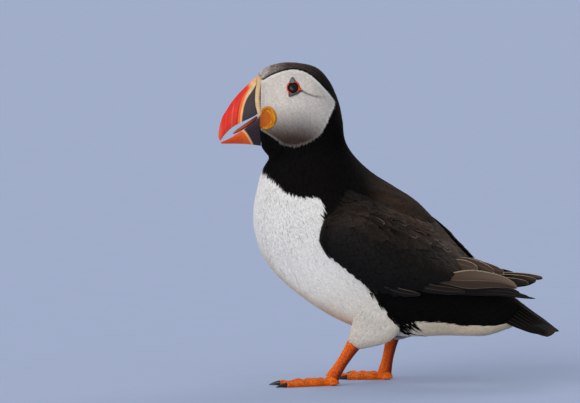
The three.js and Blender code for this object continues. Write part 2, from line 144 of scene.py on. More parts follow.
def squared(value, power):
    """A sine or cosine raised to 2 / power with its sign kept, which squares an oval off."""
    return np.sign(value) * np.abs(value) ** (2 / power)


def ripple(points, length, seed):
    """Smooth noise from -1 to 1: the mean of eight sine waves of about one length, each its own way."""
    draw = np.random.default_rng(seed)
    ways = unit(draw.normal(size=(8, 3))) * draw.uniform(0.7, 1.4, (8, 1))
    phases = draw.uniform(0, 2 * np.pi, 8)
    return np.sin(points @ ways.T * (2 * np.pi / length) + phases).mean(-1) * 1.6


def path_distance(places, path):
    """Distance of 2-D places from a path, share of the way along it, and side (+ is its left)."""
    starts, spans = path[:-1], np.diff(path, axis=0)
    offset = places[:, None] - starts[None]
    share = np.clip((offset * spans).sum(-1) / (spans ** 2).sum(-1), 0, 1)
    gap = offset - share[..., None] * spans
    away = np.hypot(gap[..., 0], gap[..., 1])
    nearest = away.argmin(1)
    pick = np.arange(len(places)), nearest
    side = np.sign(spans[nearest, 0] * gap[pick][:, 1] - spans[nearest, 1] * gap[pick][:, 0])
    return away[pick], (nearest + share[pick]) / len(spans), side


def inside_by(places, outline):
    """How far 2-D places lie inside a closed outline, by its even-odd crossings; negative outside."""
    ring = np.concatenate([outline, outline[:1]])
    away = path_distance(places, ring)[0]
    low, high = ring[:-1], ring[1:]
    x, y = places[:, :1], places[:, 1:]
    spans = (low[:, 1] > y) != (high[:, 1] > y)
    rise = np.where(high[:, 1] == low[:, 1], 1, high[:, 1] - low[:, 1])
    crossing = low[:, 0] + (y - low[:, 1]) * (high[:, 0] - low[:, 0]) / rise
    odd = (spans & (x < crossing)).sum(1) % 2
    return np.where(odd, away, -away)


def gridded(measure, low, high, step):
    """A measure of 2-D places, read bilinearly from a table of its values on a grid."""
    low = np.array(low, float)
    counts = np.ceil((np.array(high) - low) / step).astype(int) + 1
    grid = np.stack(np.meshgrid(*(np.arange(count) for count in counts), indexing="ij"), -1)
    spots = low + step * grid.reshape(-1, 2)
    table = np.concatenate([measure(part) for part in np.array_split(spots, 30)]).reshape(*counts, -1)

    def read(places):
        place = np.clip((places - low) / step, 0, counts - 1.001)
        cell = place.astype(int)
        i, j = cell[..., 0], cell[..., 1]
        right, up = (place - cell)[..., :1], (place - cell)[..., 1:]
        low_side = mix(table[i, j], table[i + 1, j], right)
        value = mix(low_side, mix(table[i, j + 1], table[i + 1, j + 1], right), up)
        return value[..., 0] if value.shape[-1] == 1 else value

    return read


def depth_map(outline, low, high, step):
    """How far 2-D places lie inside an outline, read from a grid."""
    return gridded(lambda places: inside_by(places, outline), low, high, step)


# ---------------- settings

def length_setting(label, about, millimetres):
    """A length in metres, given in millimetres."""
    return bpy.props.FloatProperty(
        name=label, description=about, default=millimetres * MM, min=0, unit="LENGTH", precision=5)


def colour_setting(label, about, red, green, blue):
    """A colour setting, given as a display colour."""
    return bpy.props.FloatVectorProperty(
        name=label, description=about, default=tone(red, green, blue), size=3, min=0, max=1,
        subtype="COLOR")


def share_setting(label, about, value, top=1):
    """A plain number from 0 to top."""
    return bpy.props.FloatProperty(
        name=label, description=about, default=value, min=0, max=top, subtype="FACTOR", precision=3)


def angle_setting(label, about, degrees):
    """An angle, given in degrees."""
    return bpy.props.FloatProperty(
        name=label, description=about, default=math.radians(degrees), subtype="ANGLE")


class PuffinFormSettings(bpy.types.PropertyGroup):
    """Sizes of the skin, the eyes and the folds."""
    voxel: length_setting("Skin fineness", "Size of the voxels that join the skin into one surface", 1)
    crease_depth: length_setting("Eye crease depth", "Depth of the fold behind the eye", 1)
    ring_width: length_setting("Eye ring width", "Width of the bare orange ring round the eye", 0.4)
    bill_step: length_setting("Bill fineness", "Distance between the points of the bill's surface", 0.26)
    groove_depth: length_setting("Bill groove depth", "Depth of the curved grooves of the upper bill", 0.32)
    foot_voxel: length_setting("Foot fineness", "Size of the voxels that join toes, web and heel", 0.42)


class PuffinCoatSettings(bpy.types.PropertyGroup):
    """Lengths of the small feathers, and how closely they stand."""
    face_length: length_setting("Face", "Length of the feathers on the face", 2.4)
    crown_length: length_setting("Crown", "Length of the feathers on the crown", 2.8)
    neck_length: length_setting("Neck", "Length of the feathers of the collar", 4.4)
    breast_length: length_setting("Breast", "Length of the feathers on breast and belly", 6.5)
    back_length: length_setting("Back", "Length of the feathers of the mantle", 7)
    flank_length: length_setting("Flank", "Length of the hair-like feathers of flank and rump", 7.5)
    thigh_length: length_setting("Thighs", "Length of the feathers on the thighs", 5.5)
    covert_length: length_setting("Coverts", "Length of the smallest feathers of the wing", 8)
    scapular_length: length_setting("Scapulars", "Length of the shoulder feathers", 12)
    cover: bpy.props.FloatProperty(
        name="Cover", description="How many feathers lie over each spot", default=3, min=0.5, max=6)
    seed: bpy.props.IntProperty(name="Seed", description="Seed of every random draw", default=7)


class PuffinColourSettings(bpy.types.PropertyGroup):
    """Colours of plumage, horn and skin."""
    face: colour_setting("Face", "Upper part of the face patch", 229, 221, 212)
    # The lower face's tone is partly the cheek's own dusky grey and partly painted shadow.
    face_low_and_shadow: colour_setting("Lower face", "Lower part of the face patch", 68, 54, 45)
    front: colour_setting("Front", "Feathers at the bill's root", 222, 211, 203)
    crown: colour_setting("Crown", "Middle of the crown", 90, 77, 68)
    nape: colour_setting("Nape", "Rear of the crown", 26, 22, 19)
    black: colour_setting("Black", "Collar, back and wings", 11, 9, 8)
    brown: colour_setting("Brown", "Worn edges of the dark feathers", 74, 58, 48)
    worn: colour_setting("Worn edge", "Pale edges of the long feathers", 186, 170, 148)
    white: colour_setting("White", "Breast", 241, 239, 235)
    # Cream, tan and pink are partly the plumage's own tones and stains, partly painted shade and warm
    # reflected light.
    cream: colour_setting("Cream", "Belly and vent", 229, 221, 208)
    tan: colour_setting("Tan", "Stained keel of the breast", 204, 184, 152)
    pink: colour_setting("Pinkish", "Stained belly in front of the legs", 214, 158, 126)
    red: colour_setting("Bill red", "Outer part of the bill", 226, 34, 14)
    slate: colour_setting("Bill slate", "Triangle at the bill's root", 46, 33, 40)
    line: colour_setting("Bill line", "Pale line round the slate", 242, 178, 118)
    band: colour_setting("Bill band", "Orange band in front of the line", 240, 98, 20)
    peach: colour_setting("Peach", "Ridge at the bill's root", 240, 172, 112)
    rim: colour_setting("Bill rim", "Fleshy rim round the bill's root", 216, 190, 146)
    rosette: colour_setting("Rosette", "Fold of skin at the mouth's corner", 248, 160, 6)
    gape: colour_setting("Mouth", "Skin inside the mouth and its corners", 204, 104, 22)
    lids: colour_setting("Eye ring", "Bare skin round the eye", 250, 62, 6)
    plate: colour_setting("Eye plates", "Horny plates over and under the eye", 96, 116, 116)
    leg: colour_setting("Legs", "Legs and feet", 255, 126, 8)
    leg_dark: colour_setting("Leg shade", "Creases and inner sides of the legs", 190, 64, 2)


class PuffinStageSettings(bpy.types.PropertyGroup):
    """Camera, light and floor."""
    azimuth: angle_setting("Azimuth", "Camera's turn round the bird", 12)
    elevation: angle_setting("Elevation", "Camera's height as an angle", 4)
    distance: bpy.props.FloatProperty(
        name="Distance", description="Camera to bird", default=4, min=0.5, unit="LENGTH")
    view_width: length_setting("View width", "Width of the view at the bird", 382.8)
    view_right: length_setting("View shift", "From the view's middle to the bird's origin", 65.5)
    view_up: length_setting("View height", "Height of the view's middle above the floor", 119.8)
    floor: colour_setting("Floor", "Floor and backdrop", 180, 195, 228)
    key: share_setting("Key light", "Strength of the main light", 1, 20)
    fill: share_setting("Fill light", "Strength of the light from the viewer's side", 1.27, 20)
    softness: angle_setting("Softness", "Width of each light as an angle", 38)
    sky: share_setting("Sky light", "Strength of the even light all round", 0.5, 4)


GROUPS = {
    "puffin_form": PuffinFormSettings,
    "puffin_coat": PuffinCoatSettings,
    "puffin_colours": PuffinColourSettings,
    "puffin_stage": PuffinStageSettings,
}


def hue(name):
    """A colour setting as an array."""
    return np.array(getattr(bpy.context.scene.puffin_colours, name)[:])


def size_of(name):
    """A length of the skin or the coat in millimetres."""
    scene = bpy.context.scene
    group = scene.puffin_form if hasattr(scene.puffin_form, name) else scene.puffin_coat
    return getattr(group, name) / MM


# ---------------- the body's shape

# Stations from the bill's root to the rump: back line x and z, belly line x and z, half the
# width, and the pear shape (positive is wider towards the belly).
STATIONS = np.array([
    [-85.5, 205, -85.5, 155, 9.8, 0.12],
    [-82.4, 208.2, -84, 153, 15, 0.16],
    [-73, 211, -82, 150.5, 19.5, 0.20],
    [-61, 211, -80.7, 149, 22.3, 0.22],
    [-49, 207.8, -80.5, 147.3, 23.3, 0.22],
    [-40.8, 199.2, -81.3, 146, 23, 0.20],
    [-35, 186.8, -82.8, 144, 22, 0.16],
    [-31.9, 173.1, -84.3, 141.5, 21.5, 0.12],
    [-30.4, 160.5, -86.3, 137, 23, 0.08],
    [-24.4, 149.8, -88.5, 127.5, 30, 0.05],
    [-12.6, 138.7, -90.5, 114, 38.5, 0.03],
    [2, 129.8, -88.8, 96.5, 44, 0.00],
    [17, 120.4, -79, 75.5, 45, -0.02],
    [32, 105.6, -54.9, 54.3, 42.5, -0.04],
    [46, 90.5, -25.6, 38.4, 36.5, -0.05],
    [58.5, 78.5, 7, 31.6, 28.5, -0.05],
    [70, 68.5, 38, 32.3, 20.5, -0.03],
    [80.5, 60.5, 63, 32.9, 16, 0.00],
    [90, 53.5, 82, 39, 10, 0.00],
])
LAST_STATION = len(STATIONS) - 1
SQUARENESS = 2.25
NECK_STATION = 8                # behind this station the bird is neck and trunk

HEAD_TURN = math.radians(8)
TURN_AXIS_X = -56
TURN_LOW = 130
TURN_HIGH = 170
NECK_LEAN = 0.31

EYE_AT = np.array([-63.4, 195.5])
EYE_RADIUS = 4.9
EYE_SUNK = 3.7
EYE_OPENING = 3.65

# The fold of skin behind the eye, as x and z, from the eye's rear corner.
CREASE = curve(pairs(
    -58.4, 193.9, -57.2, 193.4, -55.7, 192.7, -52, 191.6, -49.6, 190.9, -47.1, 190.5, -43.7, 190.4,
    -41, 190.8), 40)
# Outline of the bare skin and plates round the eye, and the outer edge of the ring within it.
EYE_PATCH = curve(pairs(
    -64.4, 202.1, -65, 201.3, -65.5, 200.1, -66.2, 198.7, -66.6, 197.1, -67, 195.4, -66.7, 193.8,
    -66.4, 192.4, -66.3, 191.2, -66, 189.8, -63.2, 190.6, -60.7, 191.6, -59, 192.6, -57.6, 193.6,
    -58.3, 194.4, -59.1, 195.7, -60, 197.3, -61.4, 199, -62.3, 199.9, -62.9, 200.8, -63.6, 201.7),
    84, True)
RING_EDGE = curve(pairs(
    -65.9, 198.6, -66.9, 197.1, -67.2, 195.6, -66.7, 193.7, -65.8, 192.4, -64.5, 192, -62.7, 192.1,
    -61.2, 192.8, -59.8, 193.7, -58, 193.7, -59.3, 195.4, -60.1, 197.1, -61.6, 198.4, -62.8, 199,
    -64.4, 199.1), 120, True)


def crease_measure(places):
    """Distance from the fold behind the eye, share of the way along it, and its side."""
    return np.stack(path_distance(places, CREASE), -1)


CREASE_MAP = gridded(crease_measure, (-66, 182), (-34, 200), 0.16)
EYE_MAP = depth_map(EYE_PATCH, (-76, 184), (-50, 210), 0.16)


def turn_head(points):
    """Turns points about the neck's upright line, by a share that grows with their level."""
    share = smooth(points[..., 2] - NECK_LEAN * points[..., 0], TURN_LOW, TURN_HIGH)
    cosine, sine = np.cos(HEAD_TURN * share), np.sin(HEAD_TURN * share)
    x, y = points[..., 0] - TURN_AXIS_X, points[..., 1]
    return np.stack([TURN_AXIS_X + x * cosine - y * sine, x * sine + y * cosine, points[..., 2]], -1)


def fold_height(places):
    """Height of the folds at places on the head's side: a furrow along the crease, a swell over
    and under it, and a shallow bed round the eye. Bells of the distance from each."""
    deep = size_of("crease_depth")
    away, along, side = np.moveaxis(CREASE_MAP(places), -1, 0)
    strength = smooth(along, -0.05, 0.1) * (1 - smooth(along, 0.6, 1))
    furrow = -deep * bell(away, 0, 0.6)
    swell = deep * np.where(side > 0, 0.35, 0.5) * bell(away, 2, 1.3)
    rim = EYE_MAP(places)
    bed = -0.35 * smooth(rim, -0.6, 0.8) + 0.3 * bell(rim, -1.6, 1.1)
    return (furrow + swell) * strength + bed


def body_point(station, angle, margin=0):
    """A point of the body. At a station the section is an oval between back and belly points,
    cos(angle)^(2/n) high and sin(angle)^(2/n) wide; angle 0 is the back, pi the belly."""
    row = spline(STATIONS, station)
    back, belly = row[..., 0:2], row[..., 2:4]
    up = back - belly
    high = np.linalg.norm(up, axis=-1)
    up = up / high[..., None]
    height = squared(np.cos(angle), SQUARENESS)
    along = (high / 2 + margin) * height
    out = (row[..., 4] + margin) * squared(np.sin(angle), SQUARENESS) * (1 - row[..., 5] * height)
    middle = (back + belly) / 2
    return np.stack([middle[..., 0] + up[..., 0] * along, out, middle[..., 1] + up[..., 1] * along], -1)


def folded_point(station, angle, margin=0):
    """A body point with the folds of the face added to its distance from the midplane."""
    points = body_point(station, angle, margin)
    flat = points.reshape(-1, 3)
    head = (flat[:, 2] > 182) & (flat[:, 2] < 208) & (flat[:, 0] < -36) & (np.abs(flat[:, 1]) > 8)
    if head.any():
        lift = fold_height(flat[head][:, [0, 2]]) * smooth(np.abs(flat[head, 1]), 8, 12)
        flat[head, 1] += np.sign(flat[head, 1]) * lift
    return flat.reshape(points.shape)


def side_fit(centre, radius, degree=5):
    """The head's side near a place as a polynomial in x and z, fitted to body points by least
    squares. Returns a function from places to distance from the midplane."""
    points = body_point(*grid_of(np.linspace(0, NECK_STATION, 240), np.linspace(0.02, np.pi - 0.02, 240)))
    near = np.hypot(points[:, 0] - centre[0], points[:, 2] - centre[1]) < radius
    powers = [(i, j) for i in range(degree + 1) for j in range(degree + 1 - i)]

    def terms(places):
        u, v = (places[:, 0] - centre[0]) / radius, (places[:, 1] - centre[1]) / radius
        return np.stack([u ** i * v ** j for i, j in powers], -1)

    weights = np.linalg.lstsq(terms(points[near][:, [0, 2]]), points[near, 1], rcond=None)[0]
    return lambda places: terms(np.asarray(places)) @ weights


# ---------------- thighs and wings

LEGS = {
    "left": {
        "hip": [-6, 18, 54], "knee": [-10.5, 20, 40], "ankle": [-19.5, 22, 27], "toe": [-34.5, 24, 3.4]},
    "right": {"hip": [9, 18, 54], "knee": [4.5, 20, 41.5], "ankle": [-2, 21.5, 29], "toe": [-8, 24, 3.4]},
}
THIGH_RADII = [[14], [11], [5]]
THIGH_SKIRT = 0.8                 # how much further the feathers reach behind the thigh

# Folded wing stations from the bend to the tip: the upper edge, the crest of the outer face and
# the lower edge, each as x, distance from the midplane and z, then the depth inwards.
WING = np.array([
    [-37, 42.5, 106, -38.5, 45, 102, -39, 44, 98.5, 6],
    [-32, 43, 114, -35, 49, 104, -36.5, 46.5, 93, 11],
    [-22, 41.5, 120.5, -27, 50.5, 104, -30.5, 47.5, 86, 13],
    [-7, 34.5, 124, -13, 51, 102, -19.5, 48, 77, 14],
    [10, 25.5, 119.8, 2, 50, 96, -5, 46.5, 66, 14],
    [25, 13.5, 110.9, 17.5, 46.5, 88, 11, 43, 60, 13],
    [37, 9.5, 101.5, 32, 42, 81, 27, 38.5, 59.5, 13],
    [47, 8.5, 91.5, 45, 37, 76, 42, 35, 59.5, 12],
    [57, 9, 82.2, 56.5, 33, 73, 56, 31.5, 60, 9],
    [67, 14, 78.3, 69, 29.5, 71, 69.5, 28.5, 60.5, 5],
    [80, 19.5, 73, 81, 27.2, 69, 82, 26.5, 61, 3.5],
    [91, 23.5, 67.3, 91.5, 25.7, 65, 92.5, 25, 60, 2.6],
    [101, 24.5, 61.7, 101.5, 25.2, 60.7, 102, 25, 59.5, 1.6],
])
WING_END = len(WING) - 1
TIP_LIFT = {"left": 0, "right": 7.5}
TIP_SHORTEN = {"left": 0, "right": 8}
EDGE_DROP = {"left": 2.8, "right": 0}
TIP_FROM_X = 50
TIP_X = 102
ARM_END = 8.3                     # the wing's flesh and coverts end at this station
HAND_OUTLINE_STATIONS = np.linspace(0, ARM_END, 30)


def leg_points(name, *joints):
    """Joints of a leg as points on its own side."""
    return np.array([LEGS[name][joint] for joint in joints], float) * [1, SIDES[name], 1]


def thigh_frame(name, place):
    """Middle, direction and radius of the thigh at places from 0, the hip, to 1, the ankle."""
    joints = leg_points(name, "hip", "knee", "ankle")
    middle = spline(joints, 2 * place)
    along = unit(spline(joints, 2 * place + 0.02) - spline(joints, 2 * place - 0.02))
    return middle, along, spline(THIGH_RADII, 2 * place)[..., 0]


def thigh_point(name, place, angle, margin=0):
    """A point of the thigh: a round section about the path from hip to ankle, drawn out behind."""
    middle, along, radius = thigh_frame(name, place)
    across = unit(np.cross([0, 1, 0], along))
    over = np.cross(along, across)
    reach = (np.maximum(radius + margin, 0.6))[..., None]
    ahead, aside = np.cos(angle)[..., None], np.sin(angle)[..., None]
    skirt = 1 + THIGH_SKIRT * np.sin(np.pi * np.clip(place, 0, 1) ** 0.75)[..., None] * smooth(ahead, 0, -1)
    return middle + across * reach * ahead * skirt + over * reach * aside


def wing_base(name, station, share):
    """The wing's outer face: a quadratic curve from the upper edge over the crest to the lower
    edge, share 0 to 1, between the splines of those edges; the tip is lifted by share^3."""
    row = spline(WING, station)
    top, crest, low = row[..., 0:3], row[..., 3:6], row[..., 6:9]
    bend = 2 * crest - (top + low) / 2
    t = np.asarray(share, float)[..., None]
    points = (1 - t) ** 2 * top + 2 * t * (1 - t) * bend + t ** 2 * low
    reach = np.clip((points[..., 0] - TIP_FROM_X) / (TIP_X - TIP_FROM_X), 0, 1)
    x = points[..., 0] - TIP_SHORTEN[name] * reach
    station = np.asarray(station, float)
    drop = EDGE_DROP[name] * smooth(station, 2.2, 4.5) * smooth(station, 9, 7.6)
    z = points[..., 2] + TIP_LIFT[name] * reach ** 3 - drop * (1 - t[..., 0]) ** 2
    return np.stack([x, SIDES[name] * points[..., 1], z], -1)


def wing_normal(name, station, share):
    """Outward direction of the wing's outer face, from its two tangents."""
    station, share = np.broadcast_arrays(np.asarray(station, float), np.asarray(share, float))
    along = wing_base(name, station + 0.05, share) - wing_base(name, station - 0.05, share)
    down = wing_base(name, station, share + 0.03) - wing_base(name, station, share - 0.03)
    return unit(np.cross(down, along)) * SIDES[name] * -1


def wing_point(name, station, share, margin=0):
    """A point of the wing's outer face, raised along its outward direction."""
    lift = np.asarray(margin, float)[..., None] * wing_normal(name, station, share)
    return wing_base(name, station, share) + lift


# ---------------- markings

FACE_PATCH = curve(pairs(
    -88, 198.2, -83.8, 199.9, -79.1, 203, -73.4, 205.6, -67.7, 207, -62.2, 207, -56.4, 205.6, -50.6,
    202.3, -44.9, 197.1, -40, 191.6, -37, 187.6, -37.2, 183.8, -39.7, 178, -42, 172.8, -44.9, 167.4,
    -49.9, 162.5, -55.6, 159.7, -61.2, 158.2, -67.5, 158.6, -74, 160.8, -81, 165, -89, 171,
    -90, 186), 160, True)
WHITE_PATCH = np.concatenate([curve(pairs(
    -110, 144, -86, 142.5, -79.5, 138, -73.5, 134.3, -62, 127.8, -50.5, 125.8, -41.5, 125.6, -37.5,
    122.5, -37.6, 114, -37, 107, -39, 99, -37, 92.5, -32, 86.5, -24, 80, -16, 73, -9.5, 68.5, -3.5,
    60.5, 1.5, 53, 6, 46, 9.5, 36, 14, 41, 23, 42.5, 50, 40, 72, 39.5, 82, 40.5, 93, 39), 150),
    pairs(120, 20, 120, -20, -130, -20, -130, 144)])

FACE, CROWN, COLLAR, WHITE, MANTLE, FLANK = range(6)
NAPE_STRIPE = 1.6                 # half width of the dark stripe between the face patches
# The corner of the mouth, which the fold of skin surrounds.
ROSETTE_PATH = pairs(
    -84.6, 177.2, -83.4, 179.9, -81.3, 181.5, -78.6, 181.1, -76.3, 178.4, -75.6, 175, -76.8, 171.8,
    -79.6, 169.4, -83, 168.6)
MOUTH_CORNER = curve([*ROSETTE_PATH, [-86.5, 169.5], [-87.5, 175]], 60, True)

FACE_MAP = depth_map(FACE_PATCH, (-98, 148), (-26, 216), 0.4)
WHITE_MAP = depth_map(WHITE_PATCH, (-114, 18), (102, 152), 0.8)
MOUTH_MAP = depth_map(MOUTH_CORNER, (-96, 160), (-68, 190), 0.4)


def face_depth(points):
    """How far points lie inside the face patch: by its outline, and off the nape's stripe."""
    side = np.abs(points[:, 1])
    return np.minimum(FACE_MAP(points[:, [0, 2]]), (side - NAPE_STRIPE) * 0.9)


def plumage_kind(points, stray=0):
    """Kind of plumage at points of the unturned body, its borders shifted by stray millimetres."""
    x, z = points[:, 0], points[:, 2]
    white = WHITE_MAP(points[:, [0, 2]]) + stray > 0
    crown = (z - 0.62 * x > 218) & (z > 178)
    kind = np.where((z < 66) | (x > 64), FLANK, MANTLE)
    kind = np.where((z + 0.45 * x > 122) | (x < 0.5 * z - 90), COLLAR, kind)
    kind = np.where(crown, CROWN, kind)
    kind = np.where(white & (z < 160), WHITE, kind)
    return np.where((face_depth(points) + stray * 0.3 > 0) & (z > 150), FACE, kind)


# Stretch of the cheek's streaks, which run down and back.
STREAKS = np.array([[0.9, 0, 0.25], [0, 0.5, 0], [0.5, 0, 0.2]])


def face_colour(points):
    """The face patch: light above, darker and streaked towards the lower rear cheek (partly its own dusky
    grey, partly painted shadow), with a white line inside its upper and rear border and round the eye, and
    the fold's dark line."""
    x, z = points[:, :1], points[:, 2:]
    inner = face_depth(points)[:, None]
    streak = ripple(points @ STREAKS, 3, 31)[:, None]
    # Darker towards the lower cheek: partly the cheek's own dusky grey, partly painted shadow, eased towards
    # the rear.
    low = smooth((189 - z) / 27 - 0.25 * smooth(x, -60, -38) + 0.03 * streak, 0.03, 1)
    face = mix(hue("face"), hue("face_low_and_shadow"), low) * (1 + 0.09 * streak)
    edge = (1 - smooth(inner, 0.7, 1.9)) * mix(0.12, 1, smooth(z, 166, 188))
    rear = smooth(x, -66, -61) * smooth(z, 190, 197)
    eye = bell(EYE_MAP(points[:, [0, 2]])[:, None], -0.8, 0.7) * mix(0.45, 1, rear)
    face = mix(face, hue("white"), np.clip(edge + eye, 0, 1))
    away, along, _ = np.moveaxis(CREASE_MAP(points[:, [0, 2]]), -1, 0)
    line = bell(away, 0, 0.5) * (1 - smooth(along, 0.55, 1))
    return face * (1 - 0.8 * line[:, None])


def crown_colour(points):
    """The crown: pale at the bill, brown-grey behind it and near black at the nape, mottled, with
    a black line along the face's border."""
    x = points[:, :1]
    inner = face_depth(points)[:, None]
    crown = mix(hue("front"), hue("crown"), smooth(x, -87, -68) ** 0.5)
    crown = mix(crown, hue("nape"), smooth(x, -72, -40))
    crown = crown * (1 + 0.3 * ripple(points * [0.5, 1, 1], 2.6, 32)[:, None])
    return mix(hue("black"), crown, smooth(-inner, 0.6, 1.7) + 0 * x)


def white_colour(points):
    """Breast and belly: white above, cream below, tan along the keel and pinkish before the legs.
    The cream below is partly painted shade; the keel's tan is partly stain and partly painted shade;
    the pink is partly stain and partly painted warm light reflected from below; the vent's tan is
    painted warm reflected light in its shade.
    """
    x, side, z = points[:, :1], np.abs(points[:, 1:2]), points[:, 2:]
    # Cream lower down: partly the belly's own tone, partly painted shade.
    white = mix(hue("cream"), hue("white"), smooth(z - 0.15 * x, 46, 92))
    keel = smooth(side, 32, 8)
    # Tan along the keel: partly stain, partly painted shade of the breast's fold.
    white = mix(white, hue("tan"), 0.95 * keel * smooth(z, 112, 74) * smooth(x, -10, -30))
    # Pink before the legs: partly stain, partly painted warm light reflected from below.
    white = mix(white, hue("pink"), 0.85 * keel * bell(x, -31, 10))
    # Tan under the vent: painted warm reflected light in the shade there.
    white = mix(white, hue("tan"), 0.75 * smooth(x, 2, 30) * smooth(z, 50, 38))
    return white * (1 - 0.05 * smooth(ripple(points, 30, 5)[:, None], 0.1, 0.8))


def plumage_colour(points, kind):
    """Colour of plumage at points: plain tones for each kind, shaded by smooth steps of place."""
    x, z = points[:, :1], points[:, 2:]
    black = np.broadcast_to(hue("black"), points.shape)
    worn = smooth(x + 0.5 * z, 50, 66) * smooth(z, 62, 78) * (0.72 + 0.3 * ripple(points, 14, 33)[:, None])
    dark = mix(black, hue("brown"), np.clip(worn, 0, 1))
    choices = [face_colour(points), crown_colour(points), dark, white_colour(points), dark, black]
    return np.select([(kind == k)[:, None] for k in range(6)], choices)


def shadowed_skin_colour(points):
    """Colour of the skin at unturned points: the plumage's own, darkened to 0.8 as painted shade for the
    gaps between the feathers.
    """
    return plumage_colour(points, plumage_kind(points)) * 0.8


# ---------------- meshes

def ring_faces(rows, sides, closed=False):
    """Quads round a stack of rings; closed joins the last ring to the first as well."""
    here = np.arange(sides)
    after = (here + 1) % sides
    low = np.arange(rows if closed else rows - 1)[:, None] * sides
    high = (low + sides) % (rows * sides)
    return np.stack([low + here, low + after, high + after, high + here], -1).reshape(-1, 4)


def loft_faces(rows, sides):
    """Quads round a stack of rings, and fans to a hub before the first and after the last."""
    here = np.arange(sides)
    after = (here + 1) % sides
    hub = np.full(sides, rows * sides)
    last = (rows - 1) * sides
    fans = [np.stack([after, here, hub], -1), np.stack([last + here, last + after, hub + 1], -1)]
    return ring_faces(rows, sides), np.concatenate(fans)


def with_hubs(rings):
    """Points of lofts, from rings of shape (..., rows, sides, 3), with the two hubs at the end."""
    lead = rings.shape[:-3]
    hubs = rings[..., [0, -1], :, :].mean(-2)
    return np.concatenate([rings.reshape(*lead, -1, 3), hubs], -2)


def many(faces, copies, stride):
    """The same faces for each copy, its points a stride further on."""
    return (faces[None] + (np.arange(copies) * stride)[:, None, None]).reshape(-1, faces.shape[1])


def fill_mesh(name, points, faces, colours=None, maps=None):
    """A smooth-shaded mesh in metres from points in millimetres and lists of equal-sided faces.
    maps are UV layers as one place for each point; colours go in the attribute "tint"."""
    mesh = bpy.data.meshes.new(name)
    corners = np.concatenate([face.ravel() for face in faces]).astype(np.int32)
    sizes = np.concatenate([np.full(len(face), face.shape[1]) for face in faces])
    starts = np.concatenate([[0], np.cumsum(sizes)[:-1]])
    mesh.vertices.add(len(points))
    mesh.vertices.foreach_set("co", (points * MM).astype(np.float32).ravel())
    mesh.loops.add(len(corners))
    mesh.loops.foreach_set("vertex_index", corners)
    mesh.polygons.add(len(sizes))
    mesh.polygons.foreach_set("loop_start", starts.astype(np.int32))
    mesh.polygons.foreach_set("loop_total", sizes.astype(np.int32))
    mesh.update(calc_edges=True)
    mesh.polygons.foreach_set("use_smooth", np.ones(len(sizes), bool))
    for label, places in (maps or {}).items():
        layer = mesh.uv_layers.new(name=label)
        layer.data.foreach_set("uv", places[corners].astype(np.float32).ravel())
    if colours is not None:
        set_tint(mesh, colours)
    mesh.validate()
    return mesh


def add_piece(name, mesh, material, replaces=()):
    """Puts a mesh in the scene as a piece that rides on the bird."""
    if not len(mesh.polygons):
        raise RuntimeError(f"{name} has no faces")
    piece = bpy.data.objects.new(name, mesh)
    bpy.context.scene.collection.objects.link(piece)
    mesh.materials.append(material)
    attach(piece, "root")
    if replaces:
        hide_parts(*replaces)
    return piece


def loft_piece(name, rings, tints, material, replaces=(), turned=True):
    """Adds a closed loft. tints are one colour, or a colour for each point of the rings."""
    points = with_hubs(rings)
    tints = with_hubs(np.broadcast_to(tints, rings.shape))
    mesh = fill_mesh(name, turn_head(points) if turned else points, loft_faces(*rings.shape[:2]), tints)
    return add_piece(name, mesh, material, replaces)


def joined_mesh(name, shells, sheets, material, replaces, voxel, rounds):
    """Adds closed lofts, and sheets given as points and quads, as one surface: joined by voxels
    and smoothed a number of rounds. Returns its mesh."""
    parts = [(with_hubs(rings), *loft_faces(*rings.shape[:2])) for rings in shells]
    parts += [(points, quads, np.zeros((0, 3), int)) for points, quads in sheets]
    starts = np.cumsum([0] + [len(part[0]) for part in parts])
    faces = [np.concatenate([part[k] + start for part, start in zip(parts, starts)]) for k in (1, 2)]
    old = fill_mesh(name, np.concatenate([part[0] for part in parts]), faces)
    piece = add_piece(name, old, material, replaces)
    remesh = piece.modifiers.new("join", "REMESH")
    remesh.mode = "VOXEL"
    remesh.voxel_size = voxel
    smoothing = piece.modifiers.new("smooth", "SMOOTH")
    smoothing.iterations = rounds
    ready = piece.evaluated_get(bpy.context.evaluated_depsgraph_get())
    mesh = bpy.data.meshes.new_from_object(ready)
    piece.modifiers.clear()
    piece.data = mesh
    bpy.data.meshes.remove(old)
    mesh.materials.clear()
    mesh.materials.append(material)
    mesh.polygons.foreach_set("use_smooth", np.ones(len(mesh.polygons), bool))
    return mesh


def points_of(mesh):
    """A mesh's points in millimetres."""
    places = np.zeros(len(mesh.vertices) * 3, np.float32)
    mesh.vertices.foreach_get("co", places)
    return places.reshape(-1, 3).astype(float) / MM


def set_points(mesh, points):
    """Moves a mesh's points, given in millimetres."""
    mesh.vertices.foreach_set("co", (points * MM).astype(np.float32).ravel())
    mesh.update()


def set_tint(mesh, colours):
    """Writes the colour attribute "tint" on a mesh's points. A fourth column is a rim's strength."""
    tint = mesh.color_attributes.new("tint", "FLOAT_COLOR", "POINT")
    full = np.concatenate([np.clip(colours, 0, 1), np.ones((len(colours), 1))], -1)[:, :4]
    tint.data.foreach_set("color", full.astype(np.float32).ravel())


def tube_rings(path, radii, sides, flatten=None):
    """Rings about a path: each is a circle of its radius, or an oval of radii (deep, wide), square
    to the path. flatten scales the part of a ring that is under the path."""
    path = np.asarray(path, float)
    along = unit(np.gradient(path, axis=0))
    across = unit(np.cross([0, 1, 0], along))
    over = np.cross(along, across)
    radii = np.broadcast_to(np.asarray(radii, float).reshape(len(path), -1), (len(path), 2))
    angle = turns(sides)
    ring_across = radii[:, :1] * np.cos(angle)
    ring_over = radii[:, 1:] * np.sin(angle)
    if flatten is not None:
        ring_across = np.where(ring_across < 0, ring_across * flatten, ring_across)
    return path[:, None] + ring_across[..., None] * across[:, None] + ring_over[..., None] * over[:, None]


# ---------------- feathers

